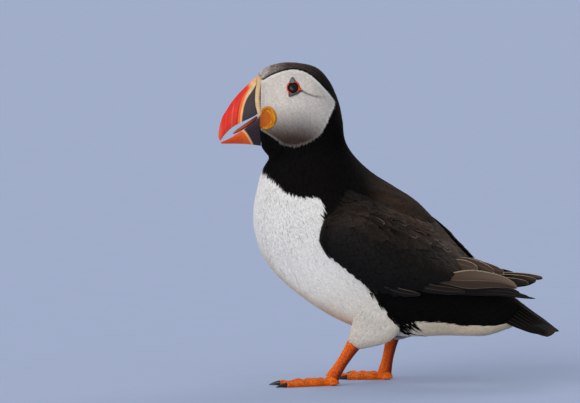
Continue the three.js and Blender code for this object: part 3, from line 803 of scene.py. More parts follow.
# Shapes of a feather: its section as across and up, from its right edge over the top; the rings'
# places along it; and its half width at those rings.
HAIR = {"section": [(1, 0), (0, 1), (-1, 0)], "rows": (0, 0.38), "wide": (0.8, 1)}
FLAKE = {
    "section": [(1, 0), (0.4, 0.9), (-0.4, 0.9), (-1, 0), (0, -0.4)],
    "rows": (0, 0.3, 0.62, 0.88), "wide": (0.5, 0.95, 1, 0.62)}
VANE = {
    "section": [
        (1, 0), (0.55, 0.8), (0, 1.1), (-0.55, 0.8), (-1, 0), (-0.55, -0.4), (0, -0.6), (0.55, -0.4)],
    "rows": (0, 0.14, 0.36, 0.6, 0.8, 0.92, 0.985), "wide": (0.3, 0.7, 0.95, 1, 0.86, 0.6, 0.28)}


def vane_points(section, rows, centre, normal, wide, thick, camber):
    """Points of closed feathers. centre and normal are (..., rows + 1, 3), the last row being the
    tip. A ring's point is the centre line plus across times wide, up times thick, and bowed down
    by camber times across squared. Returns points and each point's across and along."""
    section = np.array(section, float)
    along = unit(np.gradient(centre, axis=-2))
    across = unit(np.cross(normal, along))[..., :-1, None, :]
    upward = unit(np.cross(along, unit(np.cross(normal, along))))[..., :-1, None, :]
    out = (wide * section[:, 0])[..., None]
    rise = (thick * section[:, 1] - camber * wide * section[:, 0] ** 2)[..., None]
    rings = centre[..., :-1, None, :] + out * across + rise * upward
    rings = rings.reshape(*centre.shape[:-2], -1, 3)
    points = np.concatenate([rings, centre[..., :1, :], centre[..., -1:, :]], -2)
    place_across = np.concatenate([np.tile(section[:, 0], len(rows)), [0, 0]])
    place_along = np.concatenate([np.repeat(rows, len(section)), [0, 1]])
    return points, place_across, place_along


def feather_points(shape, centre, outward, half, thick, camber):
    """Points of many small feathers of one shape, with one outward direction for each, or for
    each place along its centre line."""
    half, thick, camber = (np.asarray(value, float)[..., None, None] for value in (half, thick, camber))
    wide = half * np.array(shape["wide"])[:, None]
    normal = np.broadcast_to(outward[:, None], centre.shape)
    return vane_points(shape["section"], shape["rows"], centre, normal, wide, thick, camber)


def feather_mesh(name, shape, points, place_across, place_along, spots, tints, patch=0.003):
    """One mesh of many feathers. spots are the roots on the unwrap of the skin, from 0 to 1, and
    a feather's patch in OFBake lies there. Vane holds each point's across and along as 0 to 1."""
    count, stride = points.shape[:2]
    faces = [many(part, count, stride) for part in loft_faces(len(shape["rows"]), len(shape["section"]))]
    local = np.stack([place_across * 0.5, place_along - 0.5], -1) * patch
    bake = (0.02 + 0.96 * spots)[:, None] + local[None]
    vane = np.broadcast_to(np.stack([place_across * 0.5 + 0.5, place_along], -1), (count, stride, 2))
    return fill_mesh(
        name, points.reshape(-1, 3), faces, tints.reshape(-1, 3),
        {"OFBake": bake.reshape(-1, 2), "Vane": vane.reshape(-1, 2)})


def soften(mesh, facing, share):
    """Turns the shading directions of many feathers part of the way to the body's own: facing is
    one outward direction for each feather."""
    own = np.zeros(len(mesh.vertices) * 3, np.float32)
    mesh.vertices.foreach_get("normal", own)
    body = np.repeat(facing, len(mesh.vertices) // len(facing), 0)
    turned = unit(mix(own.reshape(-1, 3), body, share))
    mesh.normals_split_custom_set_from_vertices(turned.astype(np.float32))


def scatter(weights, seed):
    """Places in a grid of cells with a count for each cell: an even sequence of points, x and y
    steps of the plastic number's powers, drawn through the running sums of the counts."""
    total = int(weights.sum())
    draw = np.random.default_rng(seed)
    steps = np.arange(1, total + 1)[:, None] * np.array([0.7548776662466927, 0.5698402909980532])
    even = (0.5 + steps + draw.normal(0, 0.25, (total, 2)) / math.sqrt(max(total, 1))) % 1
    row_sums = weights.sum(1)
    row_edges = np.concatenate([[0], np.cumsum(row_sums)]) / row_sums.sum()
    row = np.clip(np.searchsorted(row_edges, even[:, 0], "right") - 1, 0, len(row_sums) - 1)
    row_share = (even[:, 0] - row_edges[row]) / np.maximum(row_edges[row + 1] - row_edges[row], 1e-12)
    inner = np.cumsum(weights, 1) / np.maximum(row_sums[:, None], 1e-12)
    stacked = (inner + np.arange(len(weights))[:, None]).ravel()
    found = np.searchsorted(stacked, even[:, 1] + row, "left")
    column = np.clip(found - row * weights.shape[1], 0, weights.shape[1] - 1)
    before = np.where(column > 0, inner[row, np.maximum(column - 1, 0)], 0)
    column_share = (even[:, 1] - before) / np.maximum(inner[row, column] - before, 1e-12)
    return row + np.clip(row_share, 0, 1), column + np.clip(column_share, 0, 1)


def lay(surface, first, second, heading, length, rows, low, high):
    """Centre lines of feathers that hug a surface: from each root, straight on in the surface's
    own two measures by heading for each millimetre, rising from margin low to margin high."""
    share = np.concatenate([np.array(rows), [1]])
    reach = length[:, None] * share
    margin = low[:, None] + (high - low)[:, None] * share ** 0.45
    places = (start[:, None] + step[:, None] * reach for start, step in zip((first, second), heading))
    return surface(*places, margin)


def tangents(surface, first, second, step):
    """The surface's two tangents at places, by central differences."""
    zero = np.zeros_like(first)
    one = (surface(first + step[0], second, zero) - surface(first - step[0], second, zero)) / (2 * step[0])
    two = (surface(first, second + step[1], zero) - surface(first, second - step[1], zero)) / (2 * step[1])
    return one, two


def heading_for(one, two, way):
    """Steps of the surface's two measures that go a millimetre towards way, by least squares."""
    a, b, c = (one * one).sum(-1), (one * two).sum(-1), (two * two).sum(-1)
    p, q = (one * way).sum(-1), (two * way).sum(-1)
    spread = np.maximum(a * c - b * b, 1e-9)
    steps = np.stack([(c * p - b * q) / spread, (a * q - b * p) / spread])
    gone = np.linalg.norm(steps[0][:, None] * one + steps[1][:, None] * two, axis=-1)
    return steps / np.maximum(gone, 1e-6)


# ---------------- the body's coat

BILL_HEART = np.array([-97, 0, 179])      # the face's feathers stream away from here

# For each kind: which length setting, width over length, thickness and depth of the coat in
# millimetres, how far its shading follows the body, how far its borders stray, and the shape.
KINDS = {
    FACE: ("face_length", 0.20, 0.12, 1, 0.8, 0.15, HAIR),
    CROWN: ("crown_length", 0.19, 0.14, 1.2, 0.65, 0.2, HAIR),
    COLLAR: ("neck_length", 0.17, 0.16, 1.6, 0.75, 0.35, HAIR),
    WHITE: ("breast_length", 0.10, 0.1, 1, 0.93, 0.4, HAIR),
    MANTLE: ("back_length", 0.30, 0.16, 1.6, 0.55, 0.4, FLAKE),
    FLANK: ("flank_length", 0.10, 0.16, 1.5, 0.7, 0.6, HAIR),
}


def coat_depth(points, kind):
    """Depth of the coat over the skin: each kind's own, thinning towards the bill and the eye."""
    depth = np.choose(kind, [KINDS[k][3] for k in range(6)]).astype(float)
    to_bill = smooth(-86 - points[:, 0], -10, 0)
    return depth * (1 - 0.5 * to_bill)


WING_ROWS = spline(WING, HAND_OUTLINE_STATIONS)
WING_OUTLINE = np.concatenate([WING_ROWS[:, [0, 2]], WING_ROWS[::-1][:, [6, 8]]])
WING_MAP = depth_map(WING_OUTLINE, (-55, 45), (105, 135), 0.8)


def under_wing(points, margin):
    """True for points of the body that the folded wing hides, by more than a margin."""
    return (WING_MAP(points[:, [0, 2]]) > margin) & (np.abs(points[:, 1]) > 8)


def in_thigh(points, margin):
    """True for points that are inside a thigh, by more than a margin."""
    found = np.zeros(len(points), bool)
    low = points[:, 2] < 75
    for name in SIDES:
        middle, _, radius = thigh_frame(name, np.linspace(0, 0.8, 14))
        away = np.linalg.norm(points[low][:, None] - middle, axis=-1)
        found[low] |= (away < radius - margin).any(1)
    return found


# Front border of the feathers at the bill, as height and x.
FRONT_EDGE = (
    [178, 179, 181, 185, 192, 196, 199, 202, 206],
    [-99, -84.6, -85, -86.3, -86.4, -84.4, -82.8, -83, -85.5])


def body_lie(points, one):
    """The way that feathers lie: away from the bill close to it, and along the body behind."""
    stream = unit(points - BILL_HEART)
    along = unit(one)
    far = smooth(np.linalg.norm(points - BILL_HEART, axis=-1)[:, None], 14, 42)
    return unit(mix(stream, along, far))


def spread(surface, rows, columns, reach, step, weigh, seed):
    """Roots spread over a surface whose measures run from 0 to reach and once round. weigh gives
    the count in each cell of a grid from its middle point and area."""
    first, second = grid_of((np.arange(rows) + 0.5) * reach / rows,
                            (np.arange(columns) + 0.5) * 2 * np.pi / columns)
    one, two = tangents(surface, first, second, step)
    area = np.linalg.norm(np.cross(one, two), axis=-1) * (reach / rows * 2 * np.pi / columns)
    weights = weigh(surface(first, second, 0 * first), area)
    found = scatter(weights.reshape(rows, columns), seed)
    return found[0] * reach / rows, found[1] * 2 * np.pi / columns


def body_coat(kind, wanted=None):
    """All feathers of one kind over the body, as points, places, roots on the unwrap, tints, and
    each feather's outward direction. wanted picks roots by their points."""
    setting, slimness, thick, _, _, loose, shape = KINDS[kind]
    coat = bpy.context.scene.puffin_coat
    long = size_of(setting)
    each = 0.55 * long ** 2 * slimness / {WHITE: 1.45, COLLAR: 0.94}.get(kind, 1)

    def weigh(points, area):
        near = (np.abs(EYE_MAP(points[:, [0, 2]]) + 1) < 1.6) & (kind == FACE)
        hidden = under_wing(points, 5) | in_thigh(points, 3)
        reach = plumage_kind(points, 0.8) == kind
        weights = np.where(reach & ~hidden, area * coat.cover / each, 0) * np.where(near, 2.2, 1)
        return weights if wanted is None else weights * wanted(points)

    seed = coat.seed + 10 * kind
    station, angle = spread(body_point, 360, 240, LAST_STATION, (0.01, 0.005), weigh, seed)
    points = body_point(station, angle)
    draw = np.random.default_rng(seed + 1)
    stray = draw.normal(0, loose, len(points))
    keep = plumage_kind(points, stray) == kind
    sided = np.abs(points[:, 1]) > 8
    keep &= points[:, 0] > np.interp(points[:, 2], *FRONT_EDGE)
    if kind == FACE:
        keep &= ~(sided & ((EYE_MAP(points[:, [0, 2]]) > -0.05) | (MOUTH_MAP(points[:, [0, 2]]) > -0.6)))
    station, angle, points, sided = station[keep], angle[keep], points[keep], sided[keep]
    count = len(points)
    x, y, z = points.T
    white = WHITE_MAP(points[:, [0, 2]])
    one, two = tangents(body_point, station, angle, (0.01, 0.005))
    outward = unit(np.cross(one, two))
    way = body_lie(points, one)
    sway = 0.1 * draw.normal(size=count) + 0.22 * ripple(points, 24, 3)
    way = unit(way + np.cross(outward, way) * sway[:, None])
    length = long * draw.uniform(0.75, 1.2, count)
    if kind == FACE:
        off = -EYE_MAP(points[:, [0, 2]])
        length = np.minimum(length, np.where(sided, 0.6 + 0.75 * np.maximum(off, 0), long * 1.2))
    length = length * (1 - 0.45 * smooth(x, -76, -86) * (z > 150))
    border = smooth(white, 4, 0.3) * (kind == WHITE) * (np.abs(x - 4) < 16)
    length = length * (1 - 0.6 * border)
    vent = smooth(x, 50, 62) * (z < 44) * (kind == WHITE)
    length = length * (1 + 1.6 * vent * draw.uniform(0, 1, count) ** 2)
    fringe = (kind == FLANK) * smooth(white, -4, -0.5)
    length = length * (1 + fringe * mix(0.25, 2, x < 20) * draw.uniform(0, 1, count) ** 2)
    hanging = fringe * (x < 20)
    way = unit(way - 2.6 * hanging[:, None] * [0, 0, 1])
    heading = heading_for(one, two, way)
    depth = coat_depth(points, np.full(count, kind))
    rough = 0.035 if kind in (WHITE, FACE) else 0.07
    high = -0.1 + rough * depth * draw.normal(size=count) + vent * draw.uniform(0, 1.2, count)
    high = high + hanging * draw.uniform(0.6, 2.4, count)
    surface = folded_point if kind in (FACE, CROWN) else body_point
    centre = lay(surface, station, angle, heading, length, shape["rows"], -depth, high)
    brow = smooth(x, -82.6, -84.8) * (z > 199) * smooth(np.abs(y), 5.5, 3)
    forward = np.array([*shape["rows"], 1])[:, None] * np.array([-5, 0, -4.4])
    centre = centre + brow[:, None, None] * forward
    half = 0.5 * slimness * length * draw.uniform(0.8, 1.2, count)
    thickness = thick * draw.uniform(0.8, 1.2, count)
    made, across, along = feather_points(shape, centre, outward, half, thickness, 0.08)
    tint = plumage_colour(points, np.full(count, kind))
    uneven = {FACE: 0.035, WHITE: 0.02, CROWN: 0.26, MANTLE: 0.22}.get(kind, 0.12)
    tint = np.clip(tint * (1 + uneven * draw.normal(size=(count, 1))), 0, 1)
    # Each feather is darkened towards its root, to 0.9, as painted shade where the feathers overlap.
    tints = tint[:, None] * (0.9 + 0.12 * along)[None, :, None]
    if kind == MANTLE:
        worn = (0.12 + 0.3 * draw.uniform(size=(count, 1, 1))) * smooth(along, 0.55, 1)[None, :, None]
        tints = mix(tints, hue("brown"), worn)
    spots = np.stack([station / LAST_STATION, (angle / (2 * np.pi)) % 1], -1)
    facing = unit(turn_head(points + outward) - turn_head(points))
    if kind == WHITE:
        facing = unit(facing * [1, 1, 0.35])
    return turn_head(made), across, along, spots, tints, facing


def coat_piece(name, kind, material, wanted=None):
    """Adds one piece of the body's coat."""
    points, across, along, spots, tints, facing = body_coat(kind, wanted)
    mesh = feather_mesh(name, KINDS[kind][-1], points, across, along, spots, tints)
    soften(mesh, facing, KINDS[kind][4])
    return add_piece(name, mesh, material)


# ---------------- materials

def new_material(name, roughness, specular, **more):
    """A node material, its shader's plain values, a maker of nodes, and a finish that links the
    colour, a bump of a height with its strength and distance, and the roughness."""
    material = bpy.data.materials.new(name)
    material.use_nodes = True
    tree = material.node_tree
    shader = tree.nodes["Principled BSDF"]

    def node(kind, settings, inputs):
        made = tree.nodes.new(kind)
        for key, value in settings.items():
            setattr(made, key, value)
        for key, value in inputs.items():
            if isinstance(value, bpy.types.NodeSocket):
                tree.links.new(value, made.inputs[key])
            else:
                made.inputs[key].default_value = value
        return made

    def finish(colour, height=None, strength=0, distance=0, rough=None):
        tree.links.new(colour, shader.inputs["Base Color"])
        if height is not None:
            bump = node("ShaderNodeBump", {}, {"Height": height, "Strength": strength, "Distance": distance})
            tree.links.new(bump.outputs["Normal"], shader.inputs["Normal"])
        if rough is not None:
            tree.links.new(rough, shader.inputs["Roughness"])
        return material

    for key, value in {"Roughness": roughness, "Specular IOR Level": specular, **more}.items():
        shader.inputs[key.replace("_", " ")].default_value = value
    return node, finish


def maths(node, operation, first, second=0, third=0.5, clamp=False):
    """One Math node's result."""
    settings = {"operation": operation, "use_clamp": clamp}
    return node("ShaderNodeMath", settings, {0: first, 1: second, 2: third}).outputs[0]


def ramp(node, value, low, high):
    """A value mapped smoothly from between low and high to between 0 and 1."""
    inputs = {"Value": value, "From Min": low, "From Max": high}
    return node("ShaderNodeMapRange", {"interpolation_type": "SMOOTHSTEP"}, inputs).outputs["Result"]


def blend(node, share, first, second, mode="MIX"):
    """One colour over another, each a socket or three numbers."""
    sockets = bpy.types.NodeSocket
    first, second = (part if isinstance(part, sockets) else (*part, 1) for part in (first, second))
    settings = {"data_type": "RGBA", "blend_type": mode}
    return node("ShaderNodeMix", settings, {0: share, 6: first, 7: second}).outputs[2]


def noise(node, scale, detail):
    """Noise on the object's coordinates."""
    coords = node("ShaderNodeTexCoord", {}, {}).outputs["Object"]
    inputs = {"Vector": coords, "Scale": scale, "Detail": detail}
    return node("ShaderNodeTexNoise", {}, inputs).outputs["Fac"]


def tinted(node, output="Color"):
    """The piece's own colour attribute."""
    return node("ShaderNodeVertexColor", {"layer_name": "tint"}, {}).outputs[output]


def mottled(node, colour, share, low, high):
    """A colour times a mottle between two colours."""
    return blend(node, 1, colour, blend(node, share, low, high), "MULTIPLY")


def down_material(name, roughness, sheen, uneven=0.1):
    """Small soft feathers: the tint with fine mottling, a soft sheen, and a fibrous bump."""
    node, finish = new_material(name, roughness, 0.06, Sheen_Weight=sheen, Sheen_Roughness=0.5)
    low, high = (1 - 1.4 * uneven,) * 3, (1 + 0.8 * uneven,) * 3
    colour = mottled(node, tinted(node), ramp(node, noise(node, 900, 2), 0.25, 0.75), low, high)
    return finish(colour, noise(node, 3200, 2), 0.25, 0.0002)


def vane_material(name, fringe, gloss, barbs=90, slender=2, worn_from=0.93):
    """Webbed feathers: fine slanting barbs each side of the shaft, a paler worn edge of the given
    strength near the rim, and a mild gloss. slender is a feather's length over its half width."""
    node, finish = new_material(name, gloss, 0.1)
    place = node("ShaderNodeUVMap", {"uv_map": "Vane"}, {}).outputs[0]
    axes = node("ShaderNodeSeparateXYZ", {}, {"Vector": place}).outputs
    across = maths(node, "ABSOLUTE", maths(node, "MULTIPLY_ADD", axes[0], 2, -1))
    slant = maths(node, "MULTIPLY_ADD", across, -barbs * 0.3, maths(node, "MULTIPLY", axes[1], barbs))
    lines = maths(node, "SINE", maths(node, "MULTIPLY_ADD", noise(node, 500, 3), 5, slant))
    barb = maths(node, "MULTIPLY_ADD", lines, 0.5, 0.5)
    shaft = maths(node, "SUBTRACT", 1, ramp(node, across, 0, 0.09))
    rim = maths(node, "MAXIMUM", across, maths(node, "MULTIPLY_ADD", axes[1], slender, 1 - slender))
    ragged = maths(node, "MULTIPLY_ADD", noise(node, 700, 2), 0.07, rim)
    edge = maths(node, "MULTIPLY", ramp(node, ragged, worn_from, worn_from + 0.09), fringe, clamp=True)
    edge = maths(node, "MULTIPLY", edge, tinted(node, "Alpha"))
    worn = tuple(np.minimum(1.5 * hue("worn"), 1))
    colour = blend(node, maths(node, "MULTIPLY", barb, 0.15), tinted(node), (0, 0, 0))
    colour = blend(node, maths(node, "MULTIPLY", shaft, fringe * 0.09), colour, worn)
    height = maths(node, "MULTIPLY_ADD", barb, 0.4, shaft)
    return finish(blend(node, edge, colour, worn), height, 0.35, 0.00018)


def horn_material(name, roughness, coat, grain=1400):
    """Horn: the tint with faint growth mottling, a shallow bump and a thin gloss coat."""
    node, finish = new_material(name, roughness, 0.28, Coat_Weight=coat, Coat_Roughness=0.3)
    cloud = ramp(node, noise(node, 260, 4), 0.3, 0.7)
    colour = mottled(node, tinted(node), cloud, (0.88, 0.87, 0.86), (1.06, 1.05, 1.04))
    wear = maths(node, "MULTIPLY_ADD", noise(node, 900, 3), 0.22, roughness - 0.11)
    return finish(colour, noise(node, grain, 3), 0.3, 0.00012, wear)


def skin_material(name, first, second, scale, roughness, depth):
    """Bare skin: two tones parted by small cells, each cell raised like a scale."""
    node, finish = new_material(name, roughness, 0.2)
    coords = node("ShaderNodeTexCoord", {}, {}).outputs["Object"]
    cells = node("ShaderNodeTexVoronoi", {"feature": "DISTANCE_TO_EDGE"}, {"Vector": coords, "Scale": scale})
    top = ramp(node, cells.outputs["Distance"], 0, 0.16)
    cloud = ramp(node, noise(node, 220, 3), 0.3, 0.7)
    shade = blend(node, cloud, first, tuple(mix(np.array(first), second, 0.18)))
    return finish(mottled(node, tinted(node), top, second, shade), top, 0.6, depth)


def eye_material():
    """A wet dark eye: a near-black pupil in a deep brown iris under a clear coat."""
    node, finish = new_material("eye", 0.35, 0.1, Coat_Weight=0.35, Coat_Roughness=0.02)
    return finish(tinted(node))


# ---------------- skin

WING_SKIN_DEPTH = 1.6


def body_rings(rows, sides):
    """Rings of the skin of head, neck and trunk: the body pulled in by the coat's depth."""
    station = np.linspace(0, LAST_STATION, rows)[:, None] + np.zeros(sides)
    angle = turns(sides) + np.zeros((rows, 1))
    points = body_point(station.ravel(), angle.ravel())
    depth = coat_depth(points, plumage_kind(points)).reshape(rows, sides)
    depth = (np.roll(depth, 1, 0) + depth + np.roll(depth, -1, 0)) / 3
    return body_point(station, angle, -depth)


def wing_rings(name):
    """Rings of the wing's flesh: its outer face pulled in, and a hollow curve back inside."""
    station = np.linspace(0.25, ARM_END, 60)[:, None]
    share = np.linspace(0.03, 0.97, 26)
    outer = wing_point(name, station + 0 * share, share + 0 * station, np.full((60, 26), -WING_SKIN_DEPTH))
    depth = spline(WING[:, 9:], station[:, 0])[:, 0]
    inward = np.array([0, -SIDES[name], 0]) * depth[:, None, None]
    bulge = np.sin(np.pi * np.linspace(0, 1, 26))[None, :, None]
    inner = outer[:, ::-1] + inward * bulge
    rings = np.concatenate([outer, inner[:, 1:-1]], 1)
    return rings if SIDES[name] < 0 else rings[:, ::-1]


def build_skin():
    """One closed surface for head, neck, trunk, thighs and wings: lofts inside the solids, joined
    by voxels and smoothed, then creased behind the eye."""
    shells = [body_rings(220, 120)]
    for name in SIDES:
        place = np.linspace(0.02, 0.99, 40)[:, None] + np.zeros(48)
        angle = turns(48) + np.zeros((40, 1))
        inset = -2 + 1 * place
        shells.append(thigh_point(name, place, angle, inset))
        shells.append(wing_rings(name))
    replaced = ["head", "neck", "trunk"] + [f"{part}_{name}" for part in ("thigh", "wing") for name in SIDES]
    mesh = joined_mesh("skin", shells, [], down_material("skin", 0.9, 0), replaced,
                       bpy.context.scene.puffin_form.voxel, 5)
    points = points_of(mesh)
    head = (points[:, 2] > 182) & (points[:, 0] < -36) & (np.abs(points[:, 1]) > 8)
    lift = fold_height(points[head][:, [0, 2]]) * smooth(np.abs(points[head, 1]), 8, 12)
    points[head, 1] += np.sign(points[head, 1]) * lift
    # The skin's tints are the plumage's colours darkened as painted shade for the gaps between feathers.
    colours = shadowed_skin_colour(points)
    winged = under_wing(points, 0) & (np.abs(points[:, 1]) > 20)
    edge = path_distance(points[winged][:, [0, 2]], WING[2:9][:, [0, 2]])[0][:, None]
    colours[winged] = mix(hue("black"), hue("brown") * 1.2, smooth(edge, 4.4, 3.2))
    set_points(mesh, turn_head(points))
    set_tint(mesh, colours)


# ---------------- bill and mouth

# Culmen or keel and cutting edge as x and z, then half the width.
BILL_UPPER = np.array([
    [-88.7, 201.8, -88.7, 176.7, 8.2], [-93.5, 197.5, -91.5, 175.2, 7.6], [-97.9, 193.4, -95, 173.5, 6.9],
    [-101.8, 189.3, -98.3, 172, 6.1], [-105.5, 184.7, -101.7, 170.2, 5.2],
    [-108.4, 180.1, -104.5, 168.5, 4.4],
    [-111.3, 175.5, -107, 166.5, 3.6], [-113, 170.5, -109.2, 164.3, 2.8], [-114, 165.5, -111, 162, 2.1],
    [-114.1, 161.8, -112.1, 160.2, 1.4], [-113.4, 159.6, -112.7, 159.2, 0.8]])
BILL_LOWER = np.array([
    [-86.1, 156, -86.1, 175.2, 7.6], [-92.5, 156.8, -92.5, 170.5, 6.6], [-97, 157.2, -97, 167, 5.7],
    [-101.5, 157.3, -102, 163.8, 4.6], [-105.5, 157.3, -106, 161.2, 3.4], [-109.5, 157.3, -110, 159.3, 2],
    [-112.2, 157.3, -112.5, 158.4, 0.9]])
# Front border of the slate, as x and z.
SLATE_FRONT = curve(pairs(
    -88, 198.4, -91.4, 192.6, -94.4, 188.4, -96.2, 184.4, -97.2, 180.3, -97.9, 175.2, -98.3, 168), 60)
GROOVES = (6.6, 10.4)             # distances of the curved grooves in front of the slate


def bill_section(table, length, depth, over, hollow):
    """Rings of half a bill: the left wall from ridge to edge, the inside across in 14 steps, and
    the right wall back. Returns x, distance out and z, then for each point of a ring its share
    of the way down the wall, its side, and how far inside it is."""
    step = size_of("bill_step")
    rows, columns = int(length / step), int(depth / step)
    row = spline(table, np.linspace(0, len(table) - 1, rows))[:, None]
    share = np.linspace(0, 1, columns) ** 1.15
    inside = np.linspace(-1, 1, over + 2)[1:-1]
    wall = np.concatenate([share, np.ones(over), share[:0:-1]])
    side = np.concatenate([-np.ones(columns), inside, np.ones(columns - 1)])
    inner = np.concatenate([np.zeros(columns), 1 - inside ** 2, np.zeros(columns - 1)])
    half = row[..., 4]
    x = mix(row[..., 0], row[..., 2], wall)
    z = mix(row[..., 1], row[..., 3], wall) + hollow * half * inner
    return x, side * half * np.sin(np.pi / 2 * wall) ** 0.8, z, wall, side, inner


def upper_bill():
    """The upper bill. Its side is raised along the pale line and sunk in the grooves, bells of
    the distance in front of the slate."""
    x, out, z, wall, side, inner = bill_section(BILL_UPPER, 46, 26, 14, 0.35)
    flat = np.stack([x, z], -1).reshape(-1, 2)
    ahead = slate_distance(flat)
    relief = bill_relief(ahead.reshape(out.shape), z, wall + 0 * out)
    rings = np.stack([x, out + np.sign(side) * relief * (inner == 0), z], -1)
    colours = upper_bill_colour(flat, ahead, (wall + 0 * out).ravel(), (inner + 0 * out).ravel())
    return rings[:, ::-1], colours.reshape(*rings.shape)[:, ::-1]


def slate_distance(places):
    """Distance in front of the slate's border; negative on the slate."""
    away, _, side = path_distance(places, SLATE_FRONT)
    return np.where(side < 0, away, -away)


def line_width(z):
    """Width of the pale line, which broadens towards the bill's ridge."""
    return 1.25 + 1 * smooth(z, 185, 196)


def bill_relief(ahead, z, wall):
    """Height of the bill's side by the distance in front of the slate."""
    deep = size_of("groove_depth")
    fade = smooth(wall, 0.1, 0.3)
    height = 0.3 * np.exp(-((ahead - line_width(z) / 2) / 0.8) ** 2)
    height = height - deep * bell(ahead, 3.3, 0.36) * smooth(z, 190, 185)
    for groove in GROOVES:
        height = height - deep * bell(ahead, groove, 0.42)
        height = height + 0.45 * deep * bell(ahead - groove, 1, 0.6)
    return height * fade


def upper_bill_colour(places, ahead, wall, hollow):
    """Slate, the pale line, an orange band, a dark groove of painted shade and then red with a paler
    groove, partly pale and partly painted highlight, beside painted shade; peach along the ridge's root, and
    dark flesh on the palate."""
    ahead, wall = ahead[:, None], wall[:, None]
    x, z = places[:, :1], places[:, 1:]
    red = mix(hue("red"), hue("red") * [0.82, 1.6, 1], smooth(wall, 0.55, 1) * 0.7)
    red = mix(red, hue("line"), 0.3 * smooth(x, -110, -115))
    for groove, strength in zip(GROOVES, (0.24, 0.06)):
        # Pale streak along each groove: partly its own pale colour, partly painted highlight.
        pale = strength * bell(ahead - groove, 0.2, 0.55) * smooth(wall, 0.12, 0.3)
        red = mix(red, hue("line"), pale)
        # Dark strip beside each groove: painted shade.
        red = red * (1 - 0.22 * bell(ahead - groove, -0.7, 0.35))
    width = line_width(z)
    band = mix(hue("band"), red, smooth(ahead, 2.6, 3.3))
    # Dark groove in the band: painted shade.
    band = band * (1 - 0.6 * bell(ahead, 3.35, 0.33) * smooth(z, 188, 184) * smooth(wall, 0.3, 0.5))
    line = mix(hue("line"), hue("rim"), smooth(wall, 0.55, 0.2))
    colour = mix(line, band, smooth(ahead, width - 0.25, width + 0.35))
    slate = hue("slate") * (1 - 0.3 * smooth(ahead, -2, -7))
    colour = mix(slate, colour, smooth(ahead, -0.3, 0.2))
    ridge = smooth(wall, 0.2, 0.05) * smooth(x, -95.5, -92)
    colour = mix(colour, hue("peach"), ridge)
    return np.where(hollow[:, None] > 0, hue("gape"), colour)


def lower_bill():
    """The lower bill: the same section upside down, slate at the root and orange-red in front."""
    x, out, z, wall, _, inner = bill_section(BILL_LOWER, 32, 18, 14, -0.35)
    ahead = (-91 - 6 * wall - x)[..., None]
    orange = mix(hue("band"), hue("red"), 0.45 * smooth(ahead, 3, 9))
    colours = mix(hue("line"), orange, smooth(ahead, 1, 1.6))
    colours = mix(hue("slate"), colours, smooth(ahead, -0.4, 0.2))
    return np.stack([x, out, z], -1), np.where((inner > 0)[None, :, None], hue("gape"), colours)


def build_bill():
    """Both halves of the bill and the rim round its root, as fine lofts with their own tints."""
    material = horn_material("bill horn", 0.5, 0.05)
    for name, (rings, colours) in {"bill_upper": upper_bill(), "bill_lower": lower_bill()}.items():
        loft_piece(f"{name}_horn", rings, colours, material, [name])
    rim_piece()


# Middle and half width of the rim along x, from its top down to its lower end.
RIM_COURSE = (
    [0, 0.16, 0.36, 0.58, 0.75, 1], [-86.3, -86.6, -87.5, -87.7, -87.2, -85.9],
    [1.9, 1.7, 1.7, 1.65, 1.7, 1.3])


def rim_piece():
    """The fleshy rim: the bill's root section carried round as a roll, which is half an oval
    between its back and front, beaded by small sine waves, its tint lighter on the beads and darker between
    them as painted light and shade."""
    rows, sides = 40, 220
    roll = turns(rows)
    share = np.linspace(0, 1, sides // 2)
    wall = np.concatenate([share, share[::-1][1:-1]])
    side = np.concatenate([np.full(sides // 2, -1), np.full(sides // 2 - 2, 1)])
    top, edge, half = np.array([-88.7, 202.2]), np.array([-88.7, 176.4]), 8.2
    place = wall * 25
    beads = 0.1 * np.sin(place * 4.2) + 0.06 * np.sin(place * 9.1 + 1)
    thick = (0.95 + beads) * (0.75 + 0.35 * np.sin(np.pi * wall))
    middle_x = np.interp(wall, RIM_COURSE[0], RIM_COURSE[1])
    width = np.interp(wall, RIM_COURSE[0], RIM_COURSE[2])
    base_z = top[1] + (edge[1] - top[1]) * wall
    base_out = side * half * np.sin(np.pi / 2 * wall) ** 0.8
    tangent = unit(np.stack([np.gradient(base_out), np.gradient(base_z)], -1))
    outward = np.stack([tangent[:, 1], -tangent[:, 0]], -1)
    outward = outward * np.sign((outward * np.stack([base_out, base_z - 189], -1)).sum(-1, keepdims=True))
    x = middle_x + width * np.cos(roll)[:, None]
    rise = thick * np.sin(roll)[:, None] + 0.2
    points = np.stack([x, base_out + outward[:, 0] * rise, base_z + outward[:, 1] * rise], -1)
    colour = mix(hue("rim"), hue("band") * 0.6, smooth(np.cos(roll), 0.5, 0.95)[:, None, None])
    colour = mix(colour, hue("peach"), smooth(wall, 0.12, 0.04)[None, :, None])
    # Tints lighter on the beads and darker between them: painted light and shade.
    tints = np.broadcast_to(colour, points.shape) * (1 + 0.6 * beads[None, :, None])
    shape = turn_head(points).reshape(-1, 3)
    mesh = fill_mesh("bill_rim_skin", shape, [ring_faces(*points.shape[:2], True)], tints.reshape(-1, 3))
    add_piece("bill_rim_skin", mesh, horn_material("rim skin", 0.55, 0.1, 900), ["bill_rim"])


